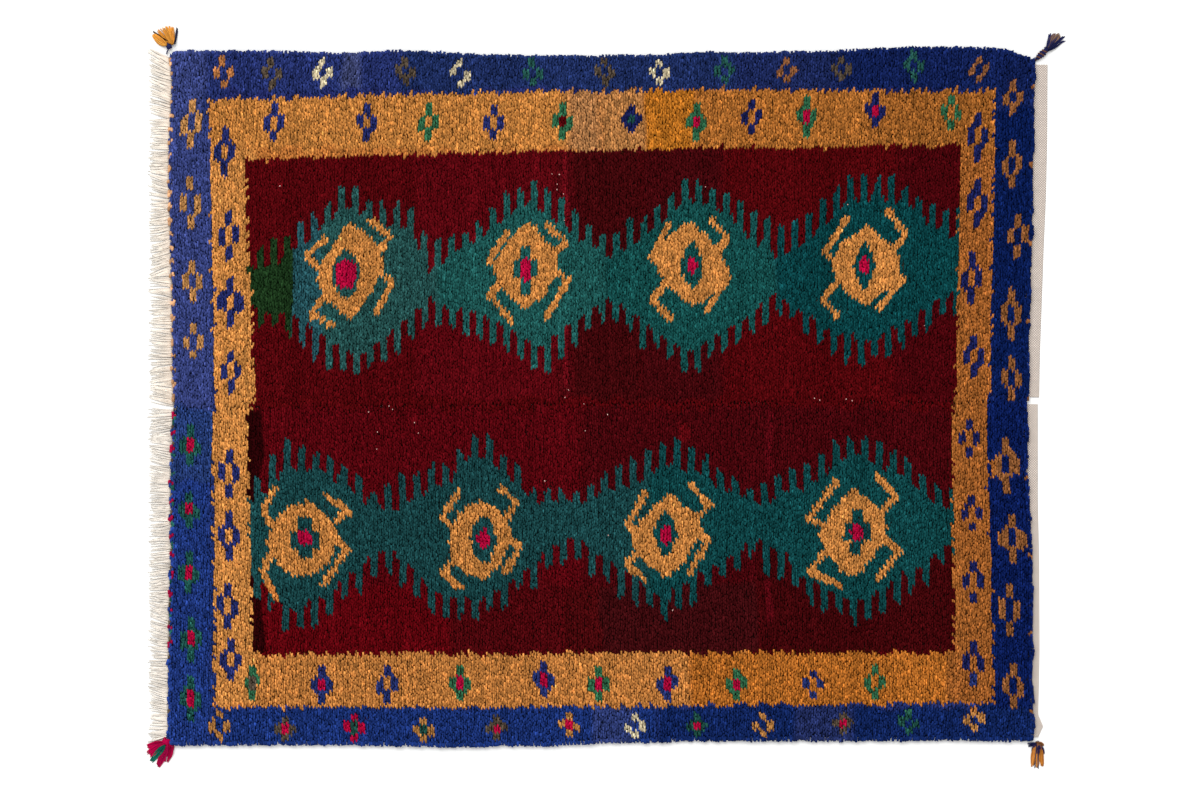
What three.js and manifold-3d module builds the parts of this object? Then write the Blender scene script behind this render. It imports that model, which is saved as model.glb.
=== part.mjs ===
// A shaggy wool tulu rug, lying flat and face up, in millimetres, with +Z up.
// +X runs along the warps, from the fringed end to the flatwoven end, and +Y across them.
// It was woven as two long panels on a narrow loom and sewn together down the middle.
// Each panel is a thick slab of pile with loose locks at its rim, a fringe of warp ends
// at one end and a plain flatwoven end at the other. A wool tassel is tied to each corner.
// The origin is on the floor, in the middle of the whole outline, fringe and tassels included.

import * as THREE from "three";
import { mergeVertices } from "three/addons/utils/BufferGeometryUtils.js";
import Module from "manifold-3d";

const wasm = await Module();
wasm.setup();

// Heights above the floor
const PILE_HEIGHT = 15;
const SHOULDER_HEIGHT = 11.5;
const BELLY_HEIGHT = 5;
const LUMP_HEIGHT = 1.7;
const WEAVE_THICKNESS = 2.4;

// How far each level of the pile's side lies inside its widest outline
const FLOOR_INSET = 5;
const SHOULDER_INSET = 3;

// How far a woven strip reaches under the pile, and the gap that sewn pieces keep
const STRIP_TUCK = 1.6;
const SEWN_GAP = 0.4;

// Cells of a panel's lumpy top, and how far a lump strays, as a share of a cell
const CELLS_ALONG = 40;
const CELLS_ACROSS = 16;
const LUMP_DRIFT = 0.25;

// Where the pile's two ends lie, halfway along each
const PILE_WEST = -975;
const PILE_EAST = 958;

// The outline of the pile, as corners of gently bowed edges
const NORTH_EDGE = [
  { x: -981, y: 767 },
  { x: -965, y: 778 },
  { x: -913, y: 781 },
  { x: -688, y: 776 },
  { x: -576, y: 773 },
  { x: -463, y: 782 },
  { x: -238, y: 772 },
  { x: 99, y: 769 },
  { x: 324, y: 777 },
  { x: 549, y: 781 },
  { x: 774, y: 791 },
  { x: 886, y: 787 },
  { x: 963, y: 760 },
];
const SOUTH_EDGE = [
  { x: -988, y: -779 },
  { x: -801, y: -781 },
  { x: -351, y: -784 },
  { x: -115, y: -786 },
  { x: -14, y: -775 },
  { x: 211, y: -771 },
  { x: 661, y: -774 },
  { x: 886, y: -773 },
  { x: 967, y: -769 },
];
const SEAM_LINE = [
  { x: -979, y: -22 },
  { x: 9, y: -11 },
  { x: 950, y: -6 },
];

// The two panels. Their ends run from the seam outwards, and side says which way that is.
// fringeStop is how far the fringe ends short of the corner, where the tassel is tied, and
// fringeFlare how far its last strands spread past it.
const PANELS = [
  {
    name: "upper",
    side: 1,
    outer: NORTH_EDGE,
    fringeStop: 4,
    fringeFlare: 14,
    west: [
      { y: -22, x: -965 },
      { y: 175, x: -971 },
      { y: 355, x: -973 },
      { y: 535, x: -978 },
      { y: 715, x: -973 },
      { y: 770, x: -981 },
    ],
    east: [
      { y: -6, x: 950 },
      { y: 265, x: 954 },
      { y: 378, x: 956 },
      { y: 535, x: 962 },
      { y: 760, x: 963 },
    ],
    hem: [
      { y: 2, x: 970 },
      { y: 108, x: 974 },
      { y: 220, x: 979 },
      { y: 333, x: 984 },
      { y: 445, x: 988 },
      { y: 580, x: 992 },
      { y: 751, x: 993 },
    ],
  },
  {
    name: "lower",
    side: -1,
    outer: SOUTH_EDGE,
    fringeStop: 17,
    fringeFlare: 0,
    west: [
      { y: -22, x: -979 },
      { y: -184, x: -976 },
      { y: -364, x: -979 },
      { y: -454, x: -984 },
      { y: -634, x: -989 },
      { y: -781, x: -988 },
    ],
    east: [
      { y: -6, x: 947 },
      { y: -274, x: 947 },
      { y: -364, x: 954 },
      { y: -544, x: 958 },
      { y: -770, x: 967 },
    ],
    hem: [
      { y: -14, x: 970 },
      { y: -229, x: 971 },
      { y: -567, x: 974 },
      { y: -713, x: 972 },
      { y: -740, x: 983 },
      { y: -764, x: 972 },
    ],
  },
];

// Locks of pile that stand out of a panel's rim. stray is a share of their spacing, turn is
// in radians, setBack is how far a lock's root lies inside the rim, and lastShare is how far
// out along an end the last lock may stand.
const LOCK = {
  alongSide: 36,
  alongEnd: 13,
  stray: 0.5,
  turn: 0.5,
  setBack: { side: 2, end: 3 },
  lastShare: 0.96,
  rootWidth: 16,
  rootDepth: 5.4,
  taper: 0.45,
  buried: 6,
  reach: 6,
  reachSpread: 6,
  height: 8.2,
  droop: 0.1,
};

// Warp ends of one panel's fringe. sway is how far they drift sideways, in slow waves along
// the end, bend is the share of it reached halfway out, and the tips shrink to tip.
const FRINGE = {
  strands: 69,
  stripWidth: 13,
  rootInStrip: 5,
  length: 30,
  lengthSpread: 6,
  width: 4.4,
  height: 3.2,
  rootHeight: 2,
  tip: 0.7,
  sway: 6,
  waves: 9,
  bend: 0.3,
  flareFrom: 0.92,
};
const FLAT_END_CORNER_CUT = 8;

// Corner tassels: the knot, the fan of yarns that leaves it and the cord that ties it on.
// Angles are in degrees from +X, tie is the end of the cord at the rug's corner, and
// outer is the length of a fan's outermost yarns as a share of its longest.
const TASSELS = [
  {
    name: "tassel_north_west",
    colour: 0xb8782f,
    knot: { x: -982, y: 792, radius: 7, height: 11 },
    tie: { x: -984, y: 777, width: 3 },
    fan: { from: 142, to: 60, strands: 9, length: 45, outer: 0.95, width: 7.5, height: 6 },
  },
  {
    name: "tassel_north_east",
    colour: 0x232a4a,
    knot: { x: 984, y: 781, radius: 5.5, height: 9 },
    tie: { x: 968, y: 765, width: 6 },
    fan: { from: 62, to: 20, strands: 7, length: 62, outer: 0.72, width: 5.2, height: 5 },
  },
  {
    name: "tassel_south_west",
    colour: 0xa80f3c,
    knot: { x: -998, y: -778, radius: 9, height: 13 },
    tie: { x: -990, y: -779, width: 8 },
    fan: { from: 206, to: 284, strands: 9, length: 53, outer: 0.66, width: 8, height: 6.5 },
  },
  {
    name: "tassel_south_east",
    colour: 0xa9682c,
    knot: { x: 974, y: -786, radius: 8.5, height: 12 },
    tie: { x: 973, y: -773, width: 5 },
    fan: { from: 250, to: 284, strands: 7, length: 49.4, outer: 0.8, width: 6.2, height: 6 },
  },
];

// A yarn's width at its root, halfway out and at its tip, how thin the tip is, and how much
// shorter than its neighbours a yarn may be. The cord is a little flatter than it is wide.
const YARN_FULLNESS = [0.55, 0.85, 0.55];
const YARN_TIP_HEIGHT = 0.6;
const YARN_SHORTFALL = 0.08;
const CORD_FLATNESS = 0.8;

// A repeatable number from 0 to 1 for two whole numbers
function chance(a, b) {
  const wave = Math.sin(a * 12.9898 + b * 78.233) * 43758.5453;
  return wave - Math.floor(wave);
}

// The value of column `to` where column `from` is `at`, between the rows of a table
function along(rows, from, to, at) {
  const rising = rows[0][from] < rows[rows.length - 1][from];
  const sorted = rising ? rows : [...rows].reverse();
  const next = sorted.findIndex((row) => row[from] > at);
  if (next === 0) return sorted[0][to];
  if (next === -1) return sorted[sorted.length - 1][to];
  const [a, b] = [sorted[next - 1], sorted[next]];
  const share = (at - a[from]) / (b[from] - a[from]);
  return THREE.MathUtils.lerp(a[to], b[to], share);
}

// The plan point of a panel at shares u of its length and v of its width from the seam
function panelPoint(panel, u, v) {
  const roughX = THREE.MathUtils.lerp(PILE_WEST, PILE_EAST, u);
  const seamY = along(SEAM_LINE, "x", "y", roughX) + (panel.side * SEWN_GAP) / 2;
  const y = THREE.MathUtils.lerp(seamY, along(panel.outer, "x", "y", roughX), v);
  const west = along(panel.west, "y", "x", y);
  const east = along(panel.east, "y", "x", y);
  return { x: THREE.MathUtils.lerp(west, east, u), y };
}

function solidFrom(geometry) {
  const bare = geometry.clone();
  bare.deleteAttribute("normal");
  bare.deleteAttribute("uv");
  const merged = mergeVertices(bare, 1e-4);
  const source = {
    numProp: 3,
    vertProperties: new Float32Array(merged.attributes.position.array),
    triVerts: new Uint32Array(merged.index.array),
  };
  return new wasm.Manifold(new wasm.Mesh(source));
}

function geometryFrom(solid) {
  const { vertProperties, triVerts } = solid.getMesh();
  const geometry = new THREE.BufferGeometry();
  geometry.setAttribute("position", new THREE.BufferAttribute(vertProperties, 3));
  geometry.setIndex(new THREE.BufferAttribute(triVerts, 1));
  return geometry;
}

function indexedGeometry(vertices, faces) {
  const geometry = new THREE.BufferGeometry();
  geometry.setAttribute("position", new THREE.Float32BufferAttribute(vertices.flat(), 3));
  geometry.setIndex(faces.flat());
  return geometry;
}

// The places of the cells round a panel's rim, in order from the seam's west end
function rimCells() {
  const cells = [];
  for (let i = 0; i < CELLS_ALONG; i++) cells.push({ i, j: 0 });
  for (let j = 0; j < CELLS_ACROSS; j++) cells.push({ i: CELLS_ALONG, j });
  for (let i = CELLS_ALONG; i > 0; i--) cells.push({ i, j: CELLS_ACROSS });
  for (let j = CELLS_ACROSS; j > 0; j--) cells.push({ i: 0, j });
  return cells;
}

// A rim point moved inwards by inset, but never away from the sewn side
function rimPoint(panel, { i, j }, inset) {
  const { x, y } = panelPoint(panel, i / CELLS_ALONG, j / CELLS_ACROSS);
  const inX = i === 0 ? inset : i === CELLS_ALONG ? -inset : 0;
  const inY = j === CELLS_ACROSS ? -inset * panel.side : 0;
  return { x: x + inX, y: y + inY };
}

// One vertex of a panel's lumpy top
function topVertex(panel, i, j) {
  const onRim = i === 0 || i === CELLS_ALONG || j === 0 || j === CELLS_ACROSS;
  if (onRim) {
    const { x, y } = rimPoint(panel, { i, j }, SHOULDER_INSET);
    return [x, y, SHOULDER_HEIGHT];
  }
  const u = (i + (0.5 - chance(i, j)) * LUMP_DRIFT) / CELLS_ALONG;
  const v = (j + (0.5 - chance(j, i + 7)) * LUMP_DRIFT) / CELLS_ACROSS;
  const { x, y } = panelPoint(panel, u, v);
  const lump = chance(i * 3 + panel.side, j * 5) - 0.5;
  return [x, y, PILE_HEIGHT + LUMP_HEIGHT * lump];
}

// A slab of pile: a lumpy top, a side that swells out at belly height and a flat underside
function slab(panel) {
  const vertices = [];
  const faces = [];
  const across = CELLS_ACROSS + 1;
  for (let i = 0; i <= CELLS_ALONG; i++)
    for (let j = 0; j <= CELLS_ACROSS; j++) vertices.push(topVertex(panel, i, j));
  const quad = (a, b, c, d) => faces.push([a, b, c], [a, c, d]);
  for (let i = 0; i < CELLS_ALONG; i++)
    for (let j = 0; j < CELLS_ACROSS; j++) {
      const a = i * across + j;
      quad(a, a + across, a + across + 1, a + 1);
    }
  const rim = rimCells();
  const belly = vertices.length;
  for (const cell of rim) {
    const { x, y } = rimPoint(panel, cell, 0);
    vertices.push([x, y, BELLY_HEIGHT]);
  }
  const floor = vertices.length;
  for (const cell of rim) {
    const { x, y } = rimPoint(panel, cell, FLOOR_INSET);
    vertices.push([x, y, 0]);
  }
  rim.forEach(({ i, j }, n) => {
    const m = (n + 1) % rim.length;
    const here = i * across + j;
    const next = rim[m].i * across + rim[m].j;
    quad(belly + n, belly + m, next, here);
    quad(floor + n, floor + m, belly + m, belly + n);
  });
  const outline = rim.map((_, n) => new THREE.Vector2(...vertices[floor + n]));
  const contour = panel.side > 0 ? outline : [...outline].reverse();
  const index = (n) => floor + (panel.side > 0 ? n : rim.length - 1 - n);
  for (const [a, b, c] of THREE.ShapeUtils.triangulateShape(contour, []))
    faces.push(panel.side > 0 ? [index(c), index(b), index(a)] : [index(a), index(b), index(c)]);
  // Mirroring the rows across the seam turns every face round
  const outward = panel.side > 0 ? faces : faces.map(([a, b, c]) => [a, c, b]);
  return solidFrom(indexedGeometry(vertices, outward));
}

// One lock: a flattened, tapering four-sided prism that leans out of the rim and droops
function lock(x, y, heading, n) {
  const reach = LOCK.reach + LOCK.reachSpread * chance(n, 11);
  const length = reach + LOCK.buried;
  const halfDiagonal = Math.SQRT1_2;
  const prism = new THREE.CylinderGeometry(LOCK.taper * halfDiagonal, halfDiagonal, length, 4, 1);
  prism.rotateY(Math.PI / 4);
  prism.rotateZ(-Math.PI / 2);
  prism.scale(1, LOCK.rootWidth, LOCK.rootDepth);
  prism.translate(length / 2 - LOCK.buried, 0, 0);
  prism.rotateY(LOCK.droop);
  prism.rotateZ(heading + (chance(n, 5) - 0.5) * LOCK.turn);
  prism.translate(x, y, LOCK.height);
  return solidFrom(prism);
}

function locks(panel) {
  const made = [];
  const outward = (panel.side * Math.PI) / 2;
  for (let n = 0; n < LOCK.alongSide; n++) {
    const u = (n + 0.5 + (chance(n, 3) - 0.5) * LOCK.stray) / LOCK.alongSide;
    const { x, y } = panelPoint(panel, u, 1);
    made.push(lock(x, y - panel.side * LOCK.setBack.side, outward, n));
  }
  for (const [u, heading] of [[0, Math.PI], [1, 0]])
    for (let n = 0; n < LOCK.alongEnd; n++) {
      const v = (n + 0.5 + chance(n, 9 + u) * LOCK.stray) / LOCK.alongEnd;
      const { x, y } = panelPoint(panel, u, Math.min(v, LOCK.lastShare));
      const seed = LOCK.alongSide + n + u * LOCK.alongEnd;
      made.push(lock(x - Math.cos(heading) * LOCK.setBack.end, y, heading, seed));
    }
  return made;
}

// A strand that rests level on the floor: a triangular section with its flat side down,
// carried along stations that each give a plan point, a width and a height
function strand(stations) {
  const vertices = [];
  const faces = [];
  stations.forEach(({ x, y, width, height }, n) => {
    const a = stations[Math.max(n - 1, 0)];
    const b = stations[Math.min(n + 1, stations.length - 1)];
    const run = Math.hypot(b.x - a.x, b.y - a.y);
    const sideX = (-(b.y - a.y) / run) * (width / 2);
    const sideY = ((b.x - a.x) / run) * (width / 2);
    vertices.push([x - sideX, y - sideY, 0], [x + sideX, y + sideY, 0], [x, y, height]);
  });
  for (let n = 0; n + 1 < stations.length; n++)
    for (let k = 0; k < 3; k++) {
      const [a, b] = [n * 3 + k, n * 3 + ((k + 1) % 3)];
      faces.push([a, b + 3, a + 3], [a, b, b + 3]);
    }
  const last = (stations.length - 1) * 3;
  faces.push([0, 2, 1], [last, last + 1, last + 2]);
  return solidFrom(indexedGeometry(vertices, faces));
}

// A thin level sheet on the floor from a plan outline, given counter-clockwise
function sheet(outline) {
  const shape = new THREE.Shape(outline.map(({ x, y }) => new THREE.Vector2(x, y)));
  return solidFrom(
    new THREE.ExtrudeGeometry(shape, { depth: WEAVE_THICKNESS, bevelEnabled: false, steps: 1 }),
  );
}

// Points down the floor line of a panel's end, from the seam outwards, just under the pile
function endLine(panel, i, cornerCut) {
  const points = [];
  for (let j = 0; j <= CELLS_ACROSS; j++) points.push(rimPoint(panel, { i, j }, STRIP_TUCK));
  points[CELLS_ACROSS].y -= panel.side * cornerCut;
  return points;
}

// The fringe: a narrow flatwoven strip with the cut warp ends standing out of it
function fringe(panel) {
  const inner = endLine(panel, 0, panel.fringeStop);
  const outer = inner.map(({ x, y }) => ({ x: x - FRINGE.stripWidth, y }));
  const ring = [...inner, ...outer.reverse()];
  const solids = [sheet(panel.side > 0 ? ring : ring.reverse())];
  const [first, last] = [inner[0].y, inner[inner.length - 1].y];
  for (let n = 0; n < FRINGE.strands; n++) {
    const share = (n + 0.5) / FRINGE.strands;
    const y = THREE.MathUtils.lerp(first, last, share);
    const x = along(panel.west, "y", "x", y) + STRIP_TUCK - FRINGE.stripWidth;
    const length = FRINGE.length + FRINGE.lengthSpread * (chance(n, panel.side + 4) - 0.5);
    const flare = Math.max(0, share - FRINGE.flareFrom) / (1 - FRINGE.flareFrom);
    const sway = Math.sin(share * FRINGE.waves + panel.side) * FRINGE.sway;
    const drift = sway + flare * panel.fringeFlare;
    const { rootInStrip, rootHeight, width, height, tip } = FRINGE;
    solids.push(
      strand([
        { x: x + rootInStrip, y, width, height: rootHeight },
        { x: x - length / 2, y: y + drift * FRINGE.bend, width, height },
        { x: x - length, y: y + drift, width: width * tip, height: height * tip },
      ]),
    );
  }
  return wasm.Manifold.union(solids);
}

// The flatwoven end, its outer edge straight where it was turned under and sewn
function flatEnd(panel) {
  const inner = endLine(panel, CELLS_ALONG, FLAT_END_CORNER_CUT);
  const hemEnd = panel.hem[panel.hem.length - 1].y;
  const reach = inner[inner.length - 1].y;
  const outer = panel.hem.map(({ x, y }) => ({ x, y }));
  outer[0].y = inner[0].y;
  outer[outer.length - 1].y = panel.side > 0 ? Math.min(hemEnd, reach) : Math.max(hemEnd, reach);
  const ring = [...outer, ...inner.reverse()];
  return sheet(panel.side > 0 ? ring : ring.reverse());
}

// A tassel: a knot on the floor with yarns fanned out of it and a short tying cord
function tassel({ knot, tie, fan }) {
  const ball = new THREE.SphereGeometry(1, 10, 6);
  ball.rotateX(Math.PI / 2);
  ball.scale(knot.radius, knot.radius, knot.height / 2);
  ball.translate(knot.x, knot.y, knot.height / 2);
  const cord = { width: tie.width, height: tie.width * CORD_FLATNESS };
  const solids = [
    solidFrom(ball),
    strand([
      { x: knot.x, y: knot.y, ...cord },
      { x: tie.x, y: tie.y, ...cord },
    ]),
  ];
  for (let n = 0; n < fan.strands; n++) solids.push(tasselYarn(knot, fan, n));
  return wasm.Manifold.union(solids);
}

// One yarn of a fan: fullest halfway out and thinner at its root and its cut end
function tasselYarn(knot, fan, n) {
  const share = n / (fan.strands - 1);
  const heading = THREE.MathUtils.degToRad(THREE.MathUtils.lerp(fan.from, fan.to, share));
  const arch = fan.outer + (1 - fan.outer) * Math.sin(Math.PI * share);
  const length = fan.length * (arch - YARN_SHORTFALL * chance(n, fan.length));
  const root = knot.radius / 3;
  const stations = YARN_FULLNESS.map((fullness, k) => {
    const out = root + (length * k) / 2;
    return {
      x: knot.x + Math.cos(heading) * out,
      y: knot.y + Math.sin(heading) * out,
      width: fan.width * fullness,
      height: fan.height * (k === 2 ? YARN_TIP_HEIGHT : 1),
    };
  });
  return strand(stations);
}

function cloth(colour, roughness) {
  return new THREE.MeshStandardMaterial({ color: colour, roughness, metalness: 0 });
}

function part(name, solid, material) {
  const mesh = new THREE.Mesh(geometryFrom(solid), material);
  mesh.name = name;
  return mesh;
}

const rug = new THREE.Group();
for (const panel of PANELS) {
  const half = new THREE.Group();
  const pile = wasm.Manifold.union([slab(panel), ...locks(panel)]);
  half.add(part(`pile_panel_${panel.name}`, pile, cloth(0x5a0c14, 0.95)));
  half.add(part(`warp_fringe_${panel.name}`, fringe(panel), cloth(0xe6ded2, 0.9)));
  half.add(part(`flat_end_${panel.name}`, flatEnd(panel), cloth(0xd3c8bc, 0.9)));
  rug.add(half);
}
const tassels = new THREE.Group();
for (const row of TASSELS) tassels.add(part(row.name, tassel(row), cloth(row.colour, 0.85)));
rug.add(tassels);

export default rug;
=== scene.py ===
"""A shaggy wool tulu rug, lying flat: two long panels of knotted pile sewn together down the middle.

Sizes are in millimetres, as a weaver would give them, and put_mesh turns them into metres. +X runs
along the warps from the fringed end to the flatwoven end, +Y across them, and +Z up through the
pile. A row is a line of knots that runs across the warps, and is seen as a ridge along Y.
"""

from __future__ import annotations

import logging
import math
from dataclasses import dataclass, field
from enum import Enum, IntEnum

import bpy
import numpy as np
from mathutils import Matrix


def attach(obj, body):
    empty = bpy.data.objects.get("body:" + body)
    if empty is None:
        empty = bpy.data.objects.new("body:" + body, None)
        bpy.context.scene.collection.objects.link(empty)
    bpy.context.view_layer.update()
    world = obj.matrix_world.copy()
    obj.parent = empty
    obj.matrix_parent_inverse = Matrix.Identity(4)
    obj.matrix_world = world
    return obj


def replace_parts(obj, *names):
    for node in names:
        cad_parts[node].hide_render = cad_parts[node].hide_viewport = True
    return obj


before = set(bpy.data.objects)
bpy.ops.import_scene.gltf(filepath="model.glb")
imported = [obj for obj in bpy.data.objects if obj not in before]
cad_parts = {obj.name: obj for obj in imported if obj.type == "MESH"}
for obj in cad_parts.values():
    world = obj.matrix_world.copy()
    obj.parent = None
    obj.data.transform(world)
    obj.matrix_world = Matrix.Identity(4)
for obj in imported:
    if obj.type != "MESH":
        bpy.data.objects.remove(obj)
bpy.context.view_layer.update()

log = logging.getLogger("tulu_rug")

MM = 0.001

# Whole arrays, two numbers, a line's corners, and points with triangles and colours
Array = np.ndarray
Pair = tuple[float, float]
Line = tuple[Pair, ...]
Painted = tuple[Array, Array, Array]
Piece = bpy.types.Object
Tree = bpy.types.NodeTree
Socket = bpy.types.NodeSocket

# Heights of the cloth under the pile, and the bed that the pile's roots stand on
WEAVE_THICKNESS = 2.6
ROOT_HEIGHT = 1.6

# How far over the floor the lowest wool lies
LOWEST_WOOL = 0.3

# Where the pile's two ends lie, halfway along each, and how deep a panel's pile is from the seam
PILE_WEST = -975.0
PILE_EAST = 958.0
PILE_LENGTH = PILE_EAST - PILE_WEST
PILE_DEPTH = 785.0

# A panel's ground weave, laid out flat
WEAVE_LENGTH = 1930.0
WEAVE_DEPTH = 780.0

# The gap that the sewing closes
SEWN_GAP = 0.4

# The knots' spacing in a row
KNOT_SPACING = 7.6

# Crossings along each side of the net that noise is blended from
NOISE_NET = 97

# Slips of the hand: more than a row has knots, more than a comb has teeth, and the first tooth's
KNOT_SLIPS = 400
TOOTH_SLIPS = 600
FIRST_SLIP = 200

# Corners round a loose ply or a fringe yarn
PLY_CORNERS = 3

# The lightest that pile wool and tassel wool get, as linear light
LIGHTEST = 0.95
LIGHTEST_TASSEL = 0.9


class Dye(IntEnum):
    """The dyed wools of the pile."""

    CRIMSON = 0
    INDIGO = 1
    GOLD = 2
    TEAL = 3
    GREEN = 4
    MAGENTA = 5
    IVORY = 6
    BROWN = 7


CRIMSON, INDIGO, GOLD, TEAL = Dye.CRIMSON, Dye.INDIGO, Dye.GOLD, Dye.TEAL
GREEN, MAGENTA, IVORY, BROWN = Dye.GREEN, Dye.MAGENTA, Dye.IVORY, Dye.BROWN


class Side(IntEnum):
    """The two panels, by the side of the seam that each lies on."""

    UPPER = 1
    LOWER = -1


class Form(Enum):
    """How a small flower is drawn in knots."""

    RING = "a ring with a stem above and below"
    PETALS = "four petals that stand apart"
    SOLID = "a filled diamond"


RING, PETALS, SOLID = Form.RING, Form.PETALS, Form.SOLID


class Hollow(Enum):
    """The shape of the opening in the middle of a large motif."""

    DIAMOND = "diamond"
    CROSS = "cross"


def linear(colour: str) -> Array:
    """Turns an sRGB hex colour into linear light.

    A channel up to 0.04045 is divided by 12.92, and a higher one c gives ((c + 0.055) / 1.055) ** 2.4.

    Args:
        colour: The colour, such as "#50080e".

    Returns:
        Its red, green and blue in linear light.
    """
    channels = np.array([int(colour[place : place + 2], 16) for place in (1, 3, 5)]) / 255
    return np.where(channels <= 0.04045, channels / 12.92, ((channels + 0.055) / 1.055) ** 2.4)


def smooth_step(low: float | Array, high: float | Array, value: Array) -> Array:
    """Rises from 0 at low to 1 at high along 3t² - 2t³, where t is the share of the way.

    Args:
        low: Where the rise starts.
        high: Where it ends.
        value: The places to work it out for.

    Returns:
        The height of the rise at each place.
    """
    share = np.clip((value - low) / (high - low), 0, 1)
    return share * share * (3 - 2 * share)


def soft_noise(x: Array, y: Array, size: float, seed: int) -> Array:
    """Smooth noise: random heights on a square net, blended between its crossings by 3t² - 2t³.

    Args:
        x: Places along X.
        y: Places along Y.
        size: The net's mesh size.
        seed: Which random heights.

    Returns:
        Values from -1 to 1.
    """
    net = np.random.default_rng(seed).uniform(-1, 1, (NOISE_NET, NOISE_NET))
    across, up = x / size, y / size
    column, line = np.floor(across).astype(int), np.floor(up).astype(int)
    s, t = across - column, up - line
    s, t = s * s * (3 - 2 * s), t * t * (3 - 2 * t)
    west, east = column % NOISE_NET, (column + 1) % NOISE_NET
    south, north = line % NOISE_NET, (line + 1) % NOISE_NET
    lower = net[south, west] * (1 - s) + net[south, east] * s
    upper = net[north, west] * (1 - s) + net[north, east] * s
    return lower * (1 - t) + upper * t


@dataclass(frozen=True)
class Drift:
    """A smooth change from place to place.

    Attributes:
        most: How far it goes to each side.
        size: How far apart its highs and lows lie.
    """

    most: float
    size: float

    def at(self, x: Array, y: Array, seed: int) -> Array:
        """The change at some places: soft noise of its size, times its most."""
        return self.most * soft_noise(x, y, self.size, seed)

    def on(self, line: Array, seed: int) -> Array:
        """The change at some places on one line."""
        return self.at(line, 0 * line, seed)


def along(line: Line, place: Array) -> Array:
    """Reads a line of straight stretches: the value at a place, blended evenly between its corners.

    Args:
        line: Corners, each a place and its value.
        place: The places to read.

    Returns:
        The line's value at each place.
    """
    return np.interp(place, [corner[0] for corner in line], [corner[1] for corner in line])


def add_node(
    tree: Tree,
    kind: str,
    settings: dict[str, object] | None = None,
    links: dict[str | int, object] | None = None,
) -> bpy.types.Node:
    """Adds a node with its settings and links.

    Args:
        tree: The material's node tree.
        kind: The node's type.
        settings: Properties of the node by name, and values of its inputs by name or number.
        links: The output that feeds each input, by the input's name or number.

    Returns:
        The new node.
    """
    node = tree.nodes.new(kind)
    for name, value in (settings or {}).items():
        if isinstance(name, str) and hasattr(node, name):
            setattr(node, name, value)
        else:
            node.inputs[name].default_value = value
    for name, output in (links or {}).items():
        tree.links.new(output, node.inputs[name])
    return node


def put_mesh(
    name: str,
    points: Array,
    triangles: Array,
    colours: Array | None = None,
    unwrapped: Array | None = None,
    smooth: bool = True,
) -> Piece:
    """Makes one object of whole arrays, with its place in its mesh.

    Args:
        name: The piece's name.
        points: Points in millimetres, one a line.
        triangles: Three point numbers a line, anticlockwise from outside.
        colours: A linear colour for each point, kept as the attribute "dye".
        unwrapped: A flat place for each corner of each triangle, kept as the UV map "OFBake".
        smooth: Whether the faces are shaded as one curved surface.

    Returns:
        The new object, in the scene.
    """
    mesh = bpy.data.meshes.new(name)
    count = len(triangles)
    mesh.vertices.add(len(points))
    mesh.vertices.foreach_set("co", (points * MM).astype(np.float32).ravel())
    mesh.loops.add(3 * count)
    mesh.loops.foreach_set("vertex_index", triangles.astype(np.int32).ravel())
    mesh.polygons.add(count)
    mesh.polygons.foreach_set("loop_start", np.arange(0, 3 * count, 3, dtype=np.int32))
    mesh.polygons.foreach_set("use_smooth", np.full(count, smooth))
    mesh.update(calc_edges=True)
    if colours is not None:
        paint = mesh.attributes.new("dye", "FLOAT_COLOR", "POINT")
        rgba = np.ones((len(points), 4), np.float32)
        rgba[:, :3] = colours
        paint.data.foreach_set("color", rgba.ravel())
    if unwrapped is not None:
        layer = mesh.uv_layers.new(name="OFBake")
        layer.uv.foreach_set("vector", unwrapped.astype(np.float32).ravel())
    piece = bpy.data.objects.new(name, mesh)
    bpy.context.scene.collection.objects.link(piece)
    return piece


def dress(piece: Piece, finish: Finish) -> Piece:
    """Gives a piece its finish, lets it ride on the rug's one body, and reports it."""
    piece.data.materials.append(finish.material())
    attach(piece, "root")
    log.info("%s: %d triangles, %s", piece.name, len(piece.data.polygons), finish.name)
    return piece


def closed_sheet(top: Array) -> tuple[Array, Array]:
    """A thin closed sheet: its upper grid, the same grid on the floor, and the four walls between.

    The points are the upper grid's followed by the lower grid's. The grid's first count runs along
    +X and its second along +Y, so the upper face looks up.

    Args:
        top: The upper grid, as counts along X and Y by three.

    Returns:
        The points, and three point numbers a line.
    """
    bottom = top * np.array([1, 1, 0])
    wide, deep = top.shape[:2]
    shift = wide * deep
    number = np.arange(shift).reshape(wide, deep)
    a, b = number[:-1, :-1].ravel(), number[1:, :-1].ravel()
    c, d = number[1:, 1:].ravel(), number[:-1, 1:].ravel()
    faces = [np.stack([a, b, c], 1), np.stack([a, c, d], 1)]
    faces += [np.stack([a, c, b], 1) + shift, np.stack([a, d, c], 1) + shift]
    rim = np.concatenate([number[:-1, 0], number[-1, :-1], number[:0:-1, -1], number[0, :0:-1]])
    ahead = np.roll(rim, -1)
    under, under_ahead = rim + shift, ahead + shift
    faces += [np.stack([rim, under, under_ahead], 1), np.stack([rim, under_ahead, ahead], 1)]
    return np.concatenate([top.reshape(-1, 3), bottom.reshape(-1, 3)]), np.concatenate(faces)


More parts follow.
